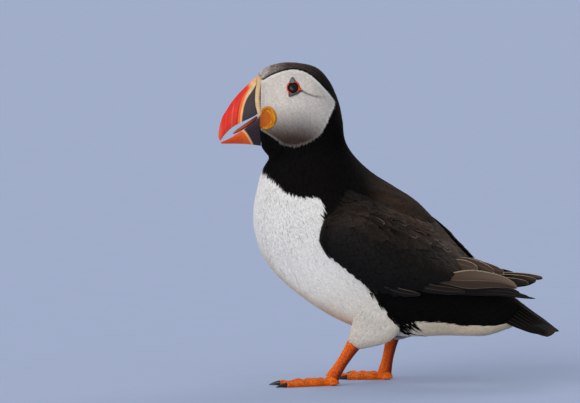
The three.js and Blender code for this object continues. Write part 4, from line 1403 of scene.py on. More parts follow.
def build_mouth():
    """The rosettes, tubes of folded skin wrinkled by sine waves along the fold, tinted darker in the
    wrinkles' hollows and lighter on their folds as painted shade and light, and the tongue.
    """
    material = skin_material("mouth skin", (1, 1, 1), (0.5, 0.35, 0.3), 1500, 0.5, 0.0001)
    rows, sides = 170, 28
    flat = curve(ROSETTE_PATH, rows)
    fit = side_fit((-80, 176), 13)
    along = np.linspace(0, 1, rows)[:, None]
    angle = turns(sides)
    radius = 1.5 * np.sin(np.pi * np.clip(along, 0.05, 0.95)) ** 0.4
    fold = np.sin(along * 30 + 3.2 * np.sin(along * 7) + 1.2 * np.sin(angle * 2 + 1))
    twist = np.cos(angle * 3 + 0.9 * np.sin(along * 14))
    reach = (radius * (1 + 0.1 * fold + 0.2 * twist))[..., None]
    # The tints follow the wrinkles: painted shade in their hollows, painted light on their folds.
    tints = np.clip(hue("rosette") * (0.78 + 0.1 * fold + 0.16 * twist)[..., None], 0, 1)
    for name, side in SIDES.items():
        path = np.stack([flat[:, 0], side * (fit(flat) + 0.1), flat[:, 1]], -1)
        tangent = unit(np.gradient(path, axis=0))
        across = unit(np.cross(tangent, [0, side, 0]))
        over = np.cross(across, tangent)
        wide, deep = 1.15 * np.cos(angle)[:, None], 0.85 * np.sin(angle)[:, None]
        rings = path[:, None] + reach * (wide * across[:, None] + deep * over[:, None])
        loft_piece(f"rosette_{name}_skin", rings[:, ::-side], tints[:, ::-side], material,
                   [f"rosette_{name}"])
        outline = MOUTH_CORNER if signed_area(MOUTH_CORNER) * side < 0 else MOUTH_CORNER[::-1]
        rings = pad_rings(outline, (1.2, 0.3, 8), fit, side)
        loft_piece(f"gape_{name}_skin", rings, hue("gape"), material)
    path = curve(pairs(-88.6, 174.9, -93, 171.6, -98, 168.2, -102, 165.7, -104.5, 164.1), 60)
    radii = curve([[0.9, 3.2], [1.15, 3.2], [1.15, 2.6], [0.9, 1.7], [0.3, 0.4]], 60)
    rings = tube_rings(np.insert(path, 1, 0, 1), radii, 36)
    rings[..., 2] -= bell(rings[..., 1], 0, 0.5) * 0.25
    loft_piece("tongue_skin", rings, tone(214, 120, 84), material, ["tongue"])


# ---------------- eyes

UPPER_PLATE = pairs(
    -65, 201.5, -64.2, 202, -63.4, 201.6, -62.6, 200.3, -62.2, 199.2, -62.8, 198.5, -64, 198.2,
    -65.2, 198.5, -65.8, 199.2, -65.5, 200.4)
LOWER_PLATE = pairs(
    -65.9, 191.9, -64.7, 192, -63.3, 191.9, -61.5, 192.4, -60, 193.4, -59.2, 193.9, -58, 193.5,
    -58.8, 192.5, -60.5, 191.4, -63.1, 190.3, -65.6, 189.6, -66.2, 190.4)


def eyeball(name, fit):
    """The eye: a ball sunk under the face along the face's own outward direction there, with a
    black pupil in a deep brown iris about that direction."""
    side = SIDES[name]
    near = EYE_AT + np.array([[0, 0], [0.5, 0], [-0.5, 0], [0, 0.5], [0, -0.5]])
    out = fit(near)
    outward = unit(np.array([out[2] - out[1], 1, out[4] - out[3]]))
    middle = np.array([EYE_AT[0], out[0], EYE_AT[1]]) - outward * EYE_SUNK
    centre, ahead = turn_head(np.stack([middle, middle + outward]) * [1, side, 1])
    axis = unit(ahead - centre)
    across = unit(np.cross([0, 0, 1], axis))
    over = np.cross(axis, across)
    rows, sides = 60, 72
    polar = np.linspace(0.03, np.pi - 0.03, rows)[:, None]
    angle = turns(sides)
    ring = np.cos(angle)[:, None] * across + np.sin(angle)[:, None] * over
    rings = centre + EYE_RADIUS * (np.cos(polar)[..., None] * axis + np.sin(polar)[..., None] * ring)
    share = np.sin(polar) * EYE_RADIUS / EYE_OPENING
    iris = mix(np.array(tone(7, 5, 5)), np.array(tone(20, 12, 9)), smooth(share, 0.6, 0.9)[..., None])
    return rings, iris + 0 * rings


def pad_rings(outline, heights, fit, side):
    """Rings of a low pad over the face: its outline shrunk towards its middle by steps, rising
    as a quarter circle rises, from under the surface."""
    middle = outline.mean(0)
    shrink = np.concatenate([[1], np.cos(np.linspace(0, np.pi / 2 - 0.12, heights[2]))])
    rise = np.append(-heights[0], heights[1] * np.sin(np.linspace(0, np.pi / 2 - 0.12, heights[2])))
    flat = middle + (outline - middle)[None] * (0.35 + 0.65 * shrink)[:, None, None]
    flat[-1] = middle + (outline - middle) * 0.12
    out = fit(flat.reshape(-1, 2)).reshape(flat.shape[:2]) + rise[:, None]
    return np.stack([flat[..., 0], side * out, flat[..., 1]], -1)


def reach_to(outline, centre, angle):
    """Distance from a centre to an outline round it, at angles."""
    offset = outline - centre
    turn = np.arctan2(offset[:, 1], offset[:, 0])
    order = np.argsort(turn)
    return np.interp(angle, turn[order], np.linalg.norm(offset, axis=1)[order], period=2 * np.pi)


def lid_rings(fit, side):
    """The bare ring, a roll from the round opening to its outer edge whose height is half a sine,
    and the flat bare skin from there to the edge of the patch, tucked under at both."""
    count, steps = 120, 13
    angle = turns(count)
    way = np.stack([np.cos(angle), np.sin(angle)], -1)
    inner = EYE_OPENING - 0.1
    edge = np.maximum(reach_to(RING_EDGE, EYE_AT, angle), EYE_OPENING + size_of("ring_width"))
    patch = np.maximum(reach_to(EYE_PATCH, EYE_AT, angle), edge + 0.1) + 0.25
    share = np.linspace(0, 1, steps)[:, None]
    flat_skin = mix(edge, patch, np.linspace(0.2, 1, 6)[:, None])
    radius = np.concatenate([mix(inner, edge, share), flat_skin])
    flat = EYE_AT + radius[..., None] * way
    surface = fit(flat.reshape(-1, 2)).reshape(radius.shape)
    over_ball = 0.25 * smooth(radius, EYE_OPENING + 1.2, EYE_OPENING - 0.3)
    height = 0.1 + over_ball
    height[:steps] += 0.5 * np.sin(np.pi * share) ** 0.8 * (1 + 0.12 * np.sin(angle * 18))
    height[-1] -= 0.35
    top = np.stack([flat[..., 0], side * (surface + height), flat[..., 1]], -1)
    low = np.minimum(height - 0.5, -0.6)
    bottom = np.stack([flat[..., 0], side * (surface + low), flat[..., 1]], -1)[::-1]
    ring = np.concatenate([np.ones(steps), np.zeros(6), np.zeros(6), np.ones(steps)])
    return np.concatenate([top, bottom]), ring


def build_eyes():
    """Eyes, lids and plates on both sides."""
    fit = side_fit(EYE_AT, 12)
    eye = eye_material()
    lids = horn_material("lid skin", 0.45, 0.3, 1800)
    horn = horn_material("plate horn", 0.5, 0.2, 1600)
    for name, side in SIDES.items():
        rings, tints = eyeball(name, fit)
        loft_piece(f"eye_{name}_ball", rings[::-1], tints[::-1], eye, [f"eye_{name}"], False)
        rings, bright = lid_rings(fit, side)
        faces = ring_faces(*rings.shape[:2], True)[:, ::side * -1]
        tints = hue("lids") * (0.3 + 0.7 * bright[:, None, None]) + np.zeros(rings.shape)
        mesh = fill_mesh(f"eyelids_{name}", turn_head(rings).reshape(-1, 3), [faces], tints.reshape(-1, 3))
        add_piece(f"eyelids_{name}", mesh, lids)
        for place, outline, middle in (("upper", UPPER_PLATE, 1), ("lower", LOWER_PLATE, 0.35)):
            shape = curve(outline, 64, True)
            rings = pad_rings(shape, (1.6, 0.9, 9), fit, side)
            rings = rings[:, ::-1] if signed_area(shape) * side > 0 else rings
            share = smooth(np.arange(len(rings)), 3, 7)[:, None, None] * middle
            tints = mix(np.array(tone(20, 22, 27)), hue("plate"), share)
            piece = f"eye_plate_{place}_{name}"
            loft_piece(f"{piece}_horn", rings, tints, horn, [piece])


def signed_area(outline):
    """Area of a 2-D outline, positive if it runs anticlockwise."""
    after = np.roll(outline, -1, 0)
    return 0.5 * (outline[:, 0] * after[:, 1] - outline[:, 1] * after[:, 0]).sum()


# ---------------- wings

# Lower border of the shoulder feathers, as wing station and share down the outer face.
SCAPULAR_EDGE = ([0, 2, 3.2, 4.3, 5, 5.9, 7.8], [0.30, 0.40, 0.47, 0.42, 0.31, 0.17, 0.06])
# Rear border of the coverts, as share down the outer face and wing station.
COVERT_END = ([0, 0.3, 0.6, 0.8, 1], [8.1, 8, 7.3, 6.6, 6.2])


def wing_roots(draw, rows, columns, border, loose):
    """Staggered roots on the wing's face, inside a border and strayed a little, as wing station
    and share down the face."""
    station, share = np.meshgrid(rows, columns, indexing="ij")
    share = share + (columns[1] - columns[0]) / 2 * (np.arange(len(rows)) % 2)[:, None]
    keep = border(station, share)
    count = keep.sum()
    return station[keep] + draw.normal(0, loose, count), share[keep] + draw.normal(0, 0.01, count)


def wing_piece(piece, name, material, roots, down, length, low, high, half, section, paint, tilt, follow):
    """Adds closed vanes over the wing, towards its tip and down by down. paint gives the tints
    from the roots' points and each point's across and along; section is thickness and bow, and
    tilt turns the shading upwards."""
    station, share = roots

    def surface(first, second, margin):
        return wing_point(name, first, np.clip(second, 0, 1), margin)

    one, two = tangents(surface, station, share, (0.02, 0.01))
    heading = heading_for(one, two, unit(unit(one) + unit(two) * down[:, None]))
    centre = lay(surface, station, share, heading, length, VANE["rows"], np.full(len(share), low), high)
    outward = wing_normal(name, station, share)
    points, across, along = feather_points(VANE, centre, outward, half, *section)
    tints = paint(centre[:, 0], across, along)
    spots = np.stack([station / WING_END, share], -1)
    mesh = feather_mesh(piece, VANE, points, across, along, spots, tints, 0.006)
    soften(mesh, unit(mix(outward, np.array([0.1, -0.35, 1]), tilt[:, None])), follow)
    add_piece(piece, mesh, material)


def vane_tints(across, along, draw, brown, strength, fringe):
    """Tints of webbed feathers: black with a share of brown, browner in the last part of the vane
    by strength, a little uneven, and paler along the rim by fringe."""
    uneven = 1 + 0.1 * draw.normal(size=(len(strength), 1, 1))
    dark = mix(hue("black"), hue("brown"), brown[:, None, None])
    tip = strength[:, None, None] * smooth(along, 0.5, 1)[None, :, None]
    tints = mix(dark, hue("brown"), tip) * uneven
    side = (np.abs(across) > 0.9) * smooth(along, 0.2, 0.8)
    rim = fringe[:, None, None] * np.maximum(side, along > 0.95)[None, :, None]
    return mix(tints, hue("worn"), rim)


def build_coverts():
    """Coverts and shoulder feathers: closed vanes in staggered rows over the wing's outer face,
    each row over the next one back, and larger towards the rear."""
    small = vane_material("covert vanes", 0, 0.6, 60)
    broad = vane_material("scapular vanes", 0.04, 0.62, 80)
    rows, columns = np.arange(0.12, COVERT_END[1][0] - 0.5, 0.19), np.arange(0.04, 0.985, 0.062)
    for index, name in enumerate(SIDES):
        draw = np.random.default_rng(bpy.context.scene.puffin_coat.seed + 100 + index)
        station, share = wing_roots(
            draw, rows, columns, lambda a, b: a < np.interp(b, *COVERT_END) - 0.85, 0.04)
        station, share = np.maximum(station, 0.05), np.clip(share, 0, 0.985)
        count = len(station)
        grow, lowest = smooth(station, 0, 7), smooth(share, 0.85, 1)
        length = size_of("covert_length") * (0.8 + 0.4 * grow) * draw.uniform(0.92, 1.08, count)
        length = length * (1 - 0.42 * lowest)
        high = 0.05 + draw.normal(0, 0.04, count)
        down = 0.25 * (1 - grow) + 0.06 * draw.normal(size=count) - 0.6 * smooth(share, 0.8, 1)

        def paint(places, across, along):
            strength = (0.02 + 0.12 * draw.uniform(size=count)) * smooth(share, 0.85, 0.3)
            cloud = smooth(ripple(places, 12, 41), -0.2, 1)
            brown = (0.06 + 0.18 * cloud) * smooth(share, 0.6, 0.15)
            brown = brown + 0.2 * smooth(station, 5.5, 8) * smooth(share, 0.6, 0.2)
            brown = np.clip(brown + 0.8 * smooth(share, 0.09, 0.01) * smooth(station, 3, 5), 0, 1)
            fringe = 0.12 * smooth(station, 4, 7.5) * smooth(share, 0.55, 0.2) * draw.uniform(0, 1, count)
            return vane_tints(across, along, draw, brown, strength, fringe)

        half = length * (0.30 - 0.03 * grow) * (1 - 0.25 * lowest)
        wing_piece(f"coverts_{name}", name, small, (station, share), down, length,
                   0.2 - WING_SKIN_DEPTH, high, half, (0.12, 0.05), paint, 0 * share, 0.6)
        build_scapulars(name, draw, broad)


def build_scapulars(name, draw, material):
    """Shoulder feathers over the wing's upper part, down to their own border."""
    rows, columns = np.arange(0, 6.9, 0.18), np.arange(0, 0.50, 0.05)
    station, share = wing_roots(
        draw, rows, columns, lambda a, b: b < np.interp(a, *SCAPULAR_EDGE) - 0.05, 0.05)
    station, share = np.clip(station, 0, 8), np.clip(share, 0, 1)
    count = len(station)
    grow = smooth(station, 1, 7)
    length = size_of("scapular_length") * (0.7 + 0.35 * grow) * draw.uniform(0.85, 1.15, count)
    high = 0.5 + draw.normal(0, 0.08, count)
    down = 0.18 * (1 - grow) + 0.1 * draw.normal(size=count) + 0.2 * smooth(share, 0.12, 0)

    def paint(places, across, along):
        strength = 0.03 + 0.18 * draw.uniform(size=count)
        cloud = smooth(ripple(places, 11, 42), -0.3, 1)
        upper = smooth(share, 0.13, 0) * smooth(station, 3, 5)
        streaky = draw.uniform(-0.3, 0.5, count) * smooth(share, 0.35, 0.1) * smooth(station, 1.5, 4)
        brown = np.clip(0.08 + 0.16 * cloud + 0.62 * upper + streaky, 0, 1)
        fringe = 0.5 * smooth(share, 0.3, 0.08) * smooth(station, 2.5, 5) * draw.uniform(0, 1, count) ** 3
        stray = (draw.uniform(size=count) < 0.02) & (share < 0.25) & (station > 3)
        return vane_tints(across, along, draw, brown, strength, np.where(stray, 0.35, fringe))

    wing_piece(f"scapulars_{name}", name, material, (station, share), down, length, -0.9, high,
               length * mix(0.15, 0.22, smooth(share, 0.1, 0.35)), (0.14, 0.06), paint,
               0.9 * smooth(share, 0.14, 0.02), 0.85)


# ---------------- long feathers

# Width of a vane along a long feather, over its greatest width.
OUTLINES = {
    "even": ([0, 0.15, 0.45, 0.75, 0.9, 0.97, 1], [0.6, 0.85, 1, 0.92, 0.68, 0.42, 0.08]),
    "slim": ([0, 0.2, 0.5, 0.8, 0.95, 1], [0.6, 0.95, 1, 0.64, 0.28, 0.04]),
    "leaf": ([0, 0.2, 0.35, 0.45, 0.6, 0.8, 0.93, 1], [0.38, 0.55, 0.9, 1, 0.84, 0.56, 0.3, 0.04]),
}


def blade_shape():
    """A long feather's section, thin vanes with a raised shaft on both faces, and its rings."""
    rows = np.concatenate([np.linspace(0, 0.8, 18), 0.8 + 0.196 * np.linspace(0, 1, 9)[1:]])
    across = np.linspace(1, -1, 9)
    back = across[::-1][1:-1]
    top = 0.7 * (1 - across ** 2) ** 0.5 + 0.9 * bell(across, 0, 0.09)
    under = -0.35 * (1 - back ** 2) ** 0.5 - 0.6 * bell(back, 0, 0.12)
    section = np.stack([np.concatenate([across, back]), np.concatenate([top, under])], -1)
    return {"section": section, "rows": rows}


BLADE = blade_shape()


def blade_points(path, normal, outline, first, second, camber=0.05):
    """Points of one long feather: first and second are the greatest widths of its two vanes,
    which follow an outline along the feather."""
    section, rows = BLADE["section"], BLADE["rows"]
    place = np.append(rows, 1)
    centre = spline(path, place * (len(path) - 1))
    outward = unit(spline(np.broadcast_to(normal, np.shape(path)), place * (len(path) - 1)))
    wide = np.where(section[:, 0] > 0, first, second) * np.interp(rows, *OUTLINES[outline])[:, None]
    return vane_points(section, rows, centre, outward, wide, 0.16, camber)


def blades_mesh(name, blades, tints):
    """One mesh of long feathers. In OFBake each has a cell of its own in a square of cells."""
    cells = math.ceil(math.sqrt(len(blades)))
    bakes, vanes, colours = [], [], []
    for index, (_, across, along) in enumerate(blades):
        corner = np.array([index % cells, index // cells])
        bakes.append((corner + np.stack([across * 0.46 + 0.5, 0.04 + 0.92 * along], -1)) / cells)
        vanes.append(np.stack([across * 0.5 + 0.5, along], -1))
        colours.append(tints(index, across, along))
    points = [blade[0] for blade in blades]
    loft = loft_faces(len(BLADE["rows"]), len(BLADE["section"]))
    faces = [many(part, len(blades), len(points[0])) for part in loft]
    maps = {"OFBake": np.concatenate(bakes), "Vane": np.concatenate(vanes)}
    return fill_mesh(name, np.concatenate(points), faces, np.concatenate(colours), maps)


# Long feathers of the folded wing, from the lowest layer to the uppermost: root and tip as wing
# station and share down the face, widths of the upper and lower vane, lift off the face, outline,
# tones of the two vanes from 0, black, over 1, brown, to 2, worn pale, and strength of the rim.
LONG_FEATHERS = [
    ((6, 0.90), (12, 0.95), 2.2, 2, -0.4, "slim", 0.1, 0.1, 0.1),
    ((6, 0.86), (11.5, 0.80), 2.4, 2.2, -0.2, "slim", 0.1, 0.1, 0.1),
    ((6, 0.80), (11, 0.66), 2.8, 2.4, 0, "slim", 0.15, 0.1, 0.1),
    ((6, 0.72), (10.6, 0.52), 3.4, 2.6, 0.2, "slim", 0.2, 0.15, 0.1),
    ((6, 0.60), (10.1, 0.36), 4, 3, 0.4, "slim", 0.4, 0.3, 0.3),
    ((6, 0.36), (10.3, 0.22), 4.4, 3.4, 0.5, "slim", 0.5, 0.35, 0.5),
    ((4.9, 0.80), (8.05, 0.84), 3.4, 3.2, 0.45, "even", 0.2, 0.13, 0.1),
    ((3.9, 0.90), (6.05, 0.93), 3.2, 2.8, 0.4, "even", 0.14, 0.08, 0.2),
    ((6.4, 0.60), (10.85, 0.44), 9.4, 6.6, 1, "leaf", 1.14, 0.62, 0.75),
]
# Inner feathers and outer tips that stand free of the wing's face, each as root and tip in x,
# distance from the midplane and z, widths of the upper and lower vane, and a tone.
FREE_FEATHERS = {
    "left": [
        ([55, 12, 82.2], [80.5, 21.5, 76], 2.8, 5, 0.8),
        ([50, 15, 83.6], [73.7, 21, 76], 3.6, 5, 0.9),
        ([45, 20, 82], [63.3, 25.5, 77.8], 4.2, 5, 1)],
    "right": [
        ([47, 14, 82], [70, 20.5, 72.5], 3.6, 4.8, 0.8),
        ([60, 20, 70.5], [98.7, 23, 69.4], 3.3, 3.4, 1.15),
        ([58, 19.5, 68.8], [94.5, 22.2, 68.1], 3.5, 3.4, 1.05),
        ([56, 19, 66.5], [89.2, 21.4, 66], 3.8, 3.2, 1)],
}


def free_blade(name, spec):
    """A long feather on a gently bowed line between two points, its face turned outwards and up."""
    root, tip, above, below, _ = spec
    side = SIDES[name]
    path = mix(np.array(root), np.array(tip), np.linspace(0, 1, 9)[:, None]) * [1, side, 1]
    path[:, 2] += 0.8 * np.sin(np.linspace(0, np.pi, 9))
    widths = (below, above) if side > 0 else (above, below)
    return blade_points(path, unit(np.array([0.1, side * 0.8, 0.6])), "even", *widths)


def wing_blade(name, spec):
    """A long feather over the wing: its centre line goes straight from root to tip in the wing's
    own measures, lifted off the face, a little more towards the tip. The far wing's feathers
    show a narrower upper vane."""
    root, tip, above, below, lift, outline = spec[:6]
    share = np.linspace(0, 1, 9)
    station, down = mix(root[0], tip[0], share), mix(root[1], tip[1], share)
    path = wing_point(name, station, down, lift - 2.8 * (1 - share) ** 2)
    normal = wing_normal(name, station, down)
    if name == "left":
        return blade_points(path, normal, outline, above, below)
    return blade_points(path, normal, "even" if outline == "slim" else outline, below, 0.45 * above)


def build_flight_feathers():
    """Primaries, inner feathers and greatest coverts of both wings."""
    material = vane_material("flight vanes", 0.9, 0.55, 150, 8, 0.88)
    for name, side in SIDES.items():
        tones = [spec[6:9] for spec in LONG_FEATHERS]
        tones += [(spec[4], spec[4] - 0.25, 1) for spec in FREE_FEATHERS[name]]

        def tints(index, across, along):
            upper, lower, rim = tones[index]
            level = (mix(lower, upper, smooth(across * -side, -0.35, 0.35)) * (0.85 + 0.2 * along))[:, None]
            shade = mix(hue("black") * 1.3, hue("brown"), np.minimum(level, 1))
            shade = mix(shade, hue("worn"), np.maximum(level - 1, 0))
            outer = np.where((across * -side > -0.3) | (along > 0.93), rim, 0.2 * rim)
            return np.concatenate([shade, outer[:, None]], -1)

        blades = [wing_blade(name, spec) for spec in LONG_FEATHERS]
        blades += [free_blade(name, spec) for spec in FREE_FEATHERS[name]]
        mesh = blades_mesh(f"long_feathers_{name}", blades, tints)
        add_piece(f"long_feathers_{name}", mesh, material, [f"flight_feathers_{name}"])


# The tail's fan by x: ridge height, depth of the whole at its middle, and droop at its sides.
TAIL = np.array([
    [70, 68, 20, 3], [83, 58.5, 16, 5], [90, 53.5, 10, 5], [97, 48.5, 6, 4.2], [103, 44.5, 3.2, 3],
    [108, 40.5, 1.8, 2], [113, 36.6, 1.1, 1.3]])
TAIL_SPREAD = ([70, 83, 90, 97, 103, 113], [5, 9, 12, 14.5, 16, 17.5])
TAIL_PAIRS = 8


def build_tail():
    """Sixteen tail feathers in a roof-shaped fan. A feather at spread s goes out s times the
    fan's half width, hangs by the square of sin(90 s) times the droop, and ends 2 s^2 before the
    middle pair, which is uppermost."""
    material = vane_material("tail vanes", 0.04, 0.75, 150, 8)
    blades = []
    for order, spread in enumerate(np.linspace(1, 0.09, TAIL_PAIRS)):
        for side in (-1, 1):
            x = np.linspace(72, 112.2 - 2 * spread ** 2, 12)
            ridge, deep, droop = (np.interp(x, TAIL[:, 0], TAIL[:, column]) for column in (1, 2, 3))
            turn = spread * np.pi / 2
            z = ridge - deep / 2 * (1 - np.cos(turn)) - droop * np.sin(turn) ** 2 + 0.16 * order - 1.4
            path = np.stack([x, side * spread * np.interp(x, *TAIL_SPREAD), z], -1)
            normal = unit(np.array([0.45, side * 0.95 * spread, 1]))
            widths = (3.6, 4.8) if side < 0 else (4.8, 3.6)
            blades.append(blade_points(path, normal, "even", *widths, 0.06))
    dark, edge = hue("black"), mix(hue("black"), hue("brown"), 0.5)

    def tints(index, across, along):
        share = (smooth(np.abs(across), 0.6, 1) * smooth(along, 0.8, 1) + smooth(along, 0.9, 1))[:, None]
        return mix(dark, edge, np.minimum(share, 1))

    mesh = blades_mesh("tail_feathers", blades, tints)
    return add_piece("tail_feathers", mesh, material, ["tail"])


# ---------------- thighs, legs and feet

# A root on the thigh gets no feather if it is nearer SPINE than the body's surface is, and more
# than HIDDEN_BY under that surface.
SPINE = np.array([10, 0, 75])
HIDDEN_BY = 1.5


def build_thigh_coat():
    """Feathers over both thighs, lying down the leg and shortest over the ankle."""
    coat = bpy.context.scene.puffin_coat
    material = down_material("thigh down", 0.85, 0.1)
    long = size_of("thigh_length")
    body = body_point(*grid_of(np.linspace(0, LAST_STATION, 200), np.linspace(0, 2 * np.pi, 120)), -3)
    low_body = body[body[:, 2] < 80][::3]
    for index, (name, side) in enumerate(SIDES.items()):
        def surface(first, second, margin):
            return thigh_point(name, np.clip(first, 0, 1.1), second, margin)

        def weigh(points, area):
            return area * coat.cover * 1.3 / (0.55 * long ** 2 * 0.13)

        place, turn = spread(surface, 80, 60, 1, (0.01, 0.01), weigh, coat.seed + 200 + index)
        place = place * 0.97
        points = surface(place, turn, np.zeros(len(place)))
        gaps = ((points[:, None] - low_body[None]) ** 2).sum(-1)
        nearest = low_body[gaps.argmin(1)]
        deep = np.linalg.norm(points - SPINE, axis=-1) < np.linalg.norm(nearest - SPINE, axis=-1)
        keep = ~(deep & (gaps.min(1) > HIDDEN_BY ** 2))
        place, turn, points = place[keep], turn[keep], points[keep]
        count = len(place)
        draw = np.random.default_rng(coat.seed + 210 + index)
        one, two = tangents(surface, place, turn, (0.01, 0.01))
        outward = unit(np.cross(one, two))
        outward *= np.sign((outward * (points - thigh_frame(name, place)[0])).sum(-1, keepdims=True))
        way = unit(unit(one) + np.cross(outward, unit(one)) * (0.2 * draw.normal(size=(count, 1))))
        heading = heading_for(one, two, way)
        length = long * draw.uniform(1, 1.7, count) * (1 - 0.3 * smooth(place, 0.8, 1))
        depth = 2 - 1 * place
        ankle = smooth(place, 0.8, 1)
        high = -0.1 + 0.06 * depth * draw.normal(size=count) + 0.5 * draw.uniform(size=count) * ankle
        centre = lay(surface, place, turn, heading, length, HAIR["rows"], -depth, high)
        half = 0.045 * length * draw.uniform(0.8, 1.2, count)
        made, across, along = feather_points(HAIR, centre, outward, half, 0.2, 0.08)
        tint = white_colour(points * [1, 0, 1] + [0, 30, 0])
        # Darker and warmer towards the bottom of the thigh: painted shade.
        tint = mix(tint, hue("cream") * [0.84, 0.8, 0.77], smooth(points[:, 2:], 44, 24))
        tint = tint * (1 + 0.04 * draw.normal(size=(count, 1)))
        stained = (place > 0.93)[:, None] & (draw.uniform(size=(count, 1)) < 0.4)
        tint = np.where(stained, tone(92, 70, 56), tint)
        # Each feather is darkened towards its root, to 0.9, as painted shade where the feathers overlap.
        tints = tint[:, None] * (0.9 + 0.12 * along)[None, :, None]
        spots = np.stack([place, (turn / (2 * np.pi)) % 1], -1)
        mesh = feather_mesh(f"thigh_coat_{name}", HAIR, made, across, along, spots, tints)
        flat = unit(np.array([0.1, side, -0.1]))
        soften(mesh, unit(mix(outward, flat, 0.95 * smooth(points[:, 2:], 20, 40))), 0.9)
        add_piece(f"thigh_coat_{name}", mesh, material)


SHANK_SWELL = [[0.95], [1.2], [1.02], [0.94], [1.18]]
SHANK = (3.9, 2.7)
FOOT_TURN = math.radians(10)
TOES = {"inner": (-28, 25), "middle": (0, 33), "outer": (27, 32)}
TOE_ROOT = 2.9
TOE_TIP = 1.9
CLAW_LENGTH = 7.5
CLAW_ROOT = 1.7
CLAW_TIP = 0.35


def build_legs():
    """Shanks with ringed scutes in front and a tendon groove each side, tinted lighter in front and darker
    behind and at the top under the feathers as painted light and shade, and webbed feet.
    """
    material = skin_material(
        "leg skin", tuple(hue("leg")), tuple(hue("leg_dark")), 820, 0.42, 0.00035)
    for name in SIDES:
        low, high = leg_points(name, "toe", "ankle")
        above = high + unit(high - low) * 3
        path = curve([above, high, mix(high, low, 0.25), mix(high, low, 0.6), mix(high, low, 0.97)], 120)
        swell = curve(SHANK_SWELL, 120)
        rings = tube_rings(path, swell * SHANK, 56)
        angle = turns(56)
        along = np.linspace(0, 1, 120)[:, None]
        front = smooth(np.cos(angle), 0.3, 0.9)
        scutes = 0.16 * np.abs(np.sin(along * 46)) ** 0.6 * front
        behind = (np.cos(angle) < 0.2) * smooth(along, 0.15, 0.3)
        tendon = -0.35 * bell(np.abs(np.sin(angle)), 0.75, 0.2) * behind
        middle = rings.mean(1, keepdims=True)
        rings = rings + unit(rings - middle) * (scutes + tendon)[..., None]
        # Painted light on the front of each shank and painted shade on its rear, by the angle round it.
        ahead = np.cos(angle)[None, :, None] + 0 * along[..., None]
        tints = mix(np.array([0.78, 0.55, 0.7]), np.ones(3), smooth(ahead, 0, 0.85))
        tints = mix(np.array([0.16, 0.06, 0.3]), tints, smooth(ahead, -1, -0.1))
        # Painted shade at the top of the shank, under the feathers.
        tints = tints * mix(np.array([0.4, 0.35, 1]), np.ones(3), smooth(along, 0.06, 0.24)[..., None])
        loft_piece(f"shank_{name}", rings, tints, material, [f"leg_{name}"], False)
        build_foot(name, material)


def toe_line(name, spread, length):
    """A toe's root and tip on the floor, and its direction."""
    side = SIDES[name]
    heading = side * (-FOOT_TURN - math.radians(spread))
    along = np.array([-math.cos(heading), -math.sin(heading), 0])
    root = leg_points(name, "toe")[0] * [1, 1, 0] + [0, 0, TOE_ROOT * 0.7]
    tip = root + along * length
    tip[2] = TOE_TIP * 0.7
    return root, tip, along


def build_foot(name, material):
    """A foot: three jointed toes, a web that sags between them, and the heel, joined by voxels
    and flattened underneath."""
    lines = [toe_line(name, *toe) for toe in TOES.values()]
    shells = []
    for root, tip, along in lines:
        place = np.linspace(0, 1, 48)
        path = root + (tip - root) * place[:, None]
        joints = 0.13 * np.cos(place * 6 * np.pi) + 0.05
        radius = (TOE_ROOT + (TOE_TIP - TOE_ROOT) * place) * (1 + joints)
        path[:, 2] = radius * 0.72
        shells.append(tube_rings(path, radius, 24))
    heel = leg_points(name, "toe")[0]
    rise = np.linspace(0, 1, 16)[:, None]
    path = np.array([heel[0] + 1.5, heel[1], 0.4]) + rise * np.array([-1.2, 0, 6])
    shells.append(tube_rings(path, np.concatenate([4.6 - 0.9 * rise, 4.1 - 1.3 * rise], 1), 28))
    webs = [web_sheet(lines[k][0], lines[k][1], lines[k + 1][1]) for k in (0, 1)]
    mesh = joined_mesh(f"webbed_foot_{name}", shells, webs, material, [f"foot_{name}"],
                       bpy.context.scene.puffin_form.foot_voxel, 4)
    points = points_of(mesh)
    points[:, 2] = np.maximum(points[:, 2] - 0.15, 0)
    set_points(mesh, points)
    web = smooth(points[:, 2:], 2.4, 1)
    set_tint(mesh, mix(np.ones(3), np.array([0.85, 0.75, 0.7]), web))


def web_sheet(root, first, second):
    """A closed sheet between two toes: rays from the root, whose ends sag back between the toes,
    over a lower copy of themselves."""
    rays, steps, thick = 22, 26, 1.3
    across = np.linspace(0, 1, rays)[:, None]
    ends = first + (second - first) * across
    ends = ends + (root - ends) * (0.24 * np.sin(np.pi * across))
    reach = np.linspace(0.02, 1, steps)
    top = root + (ends - root)[:, None] * reach[None, :, None]
    wrinkle = 0.12 * np.sin(reach * 24)[None] * np.sin(np.pi * across)
    top[..., 2] = 0.2 + thick * (1 - 0.3 * np.sin(np.pi * across)) + wrinkle
    bottom = top.copy()
    bottom[..., 2] = 0
    points = np.concatenate([top.reshape(-1, 3), bottom.reshape(-1, 3)])
    grid = np.arange(rays * steps).reshape(rays, steps)
    quads = np.stack([grid[:-1, :-1], grid[1:, :-1], grid[1:, 1:], grid[:-1, 1:]], -1).reshape(-1, 4)
    under = quads[:, ::-1] + rays * steps
    rim = np.concatenate([grid[0], grid[1:, -1], grid[-1, -2::-1], grid[-2:0:-1, 0]])
    after = np.roll(rim, -1)
    walls = np.stack([rim, after, after + rays * steps, rim + rays * steps], -1)
    return points, np.concatenate([quads, under, walls])


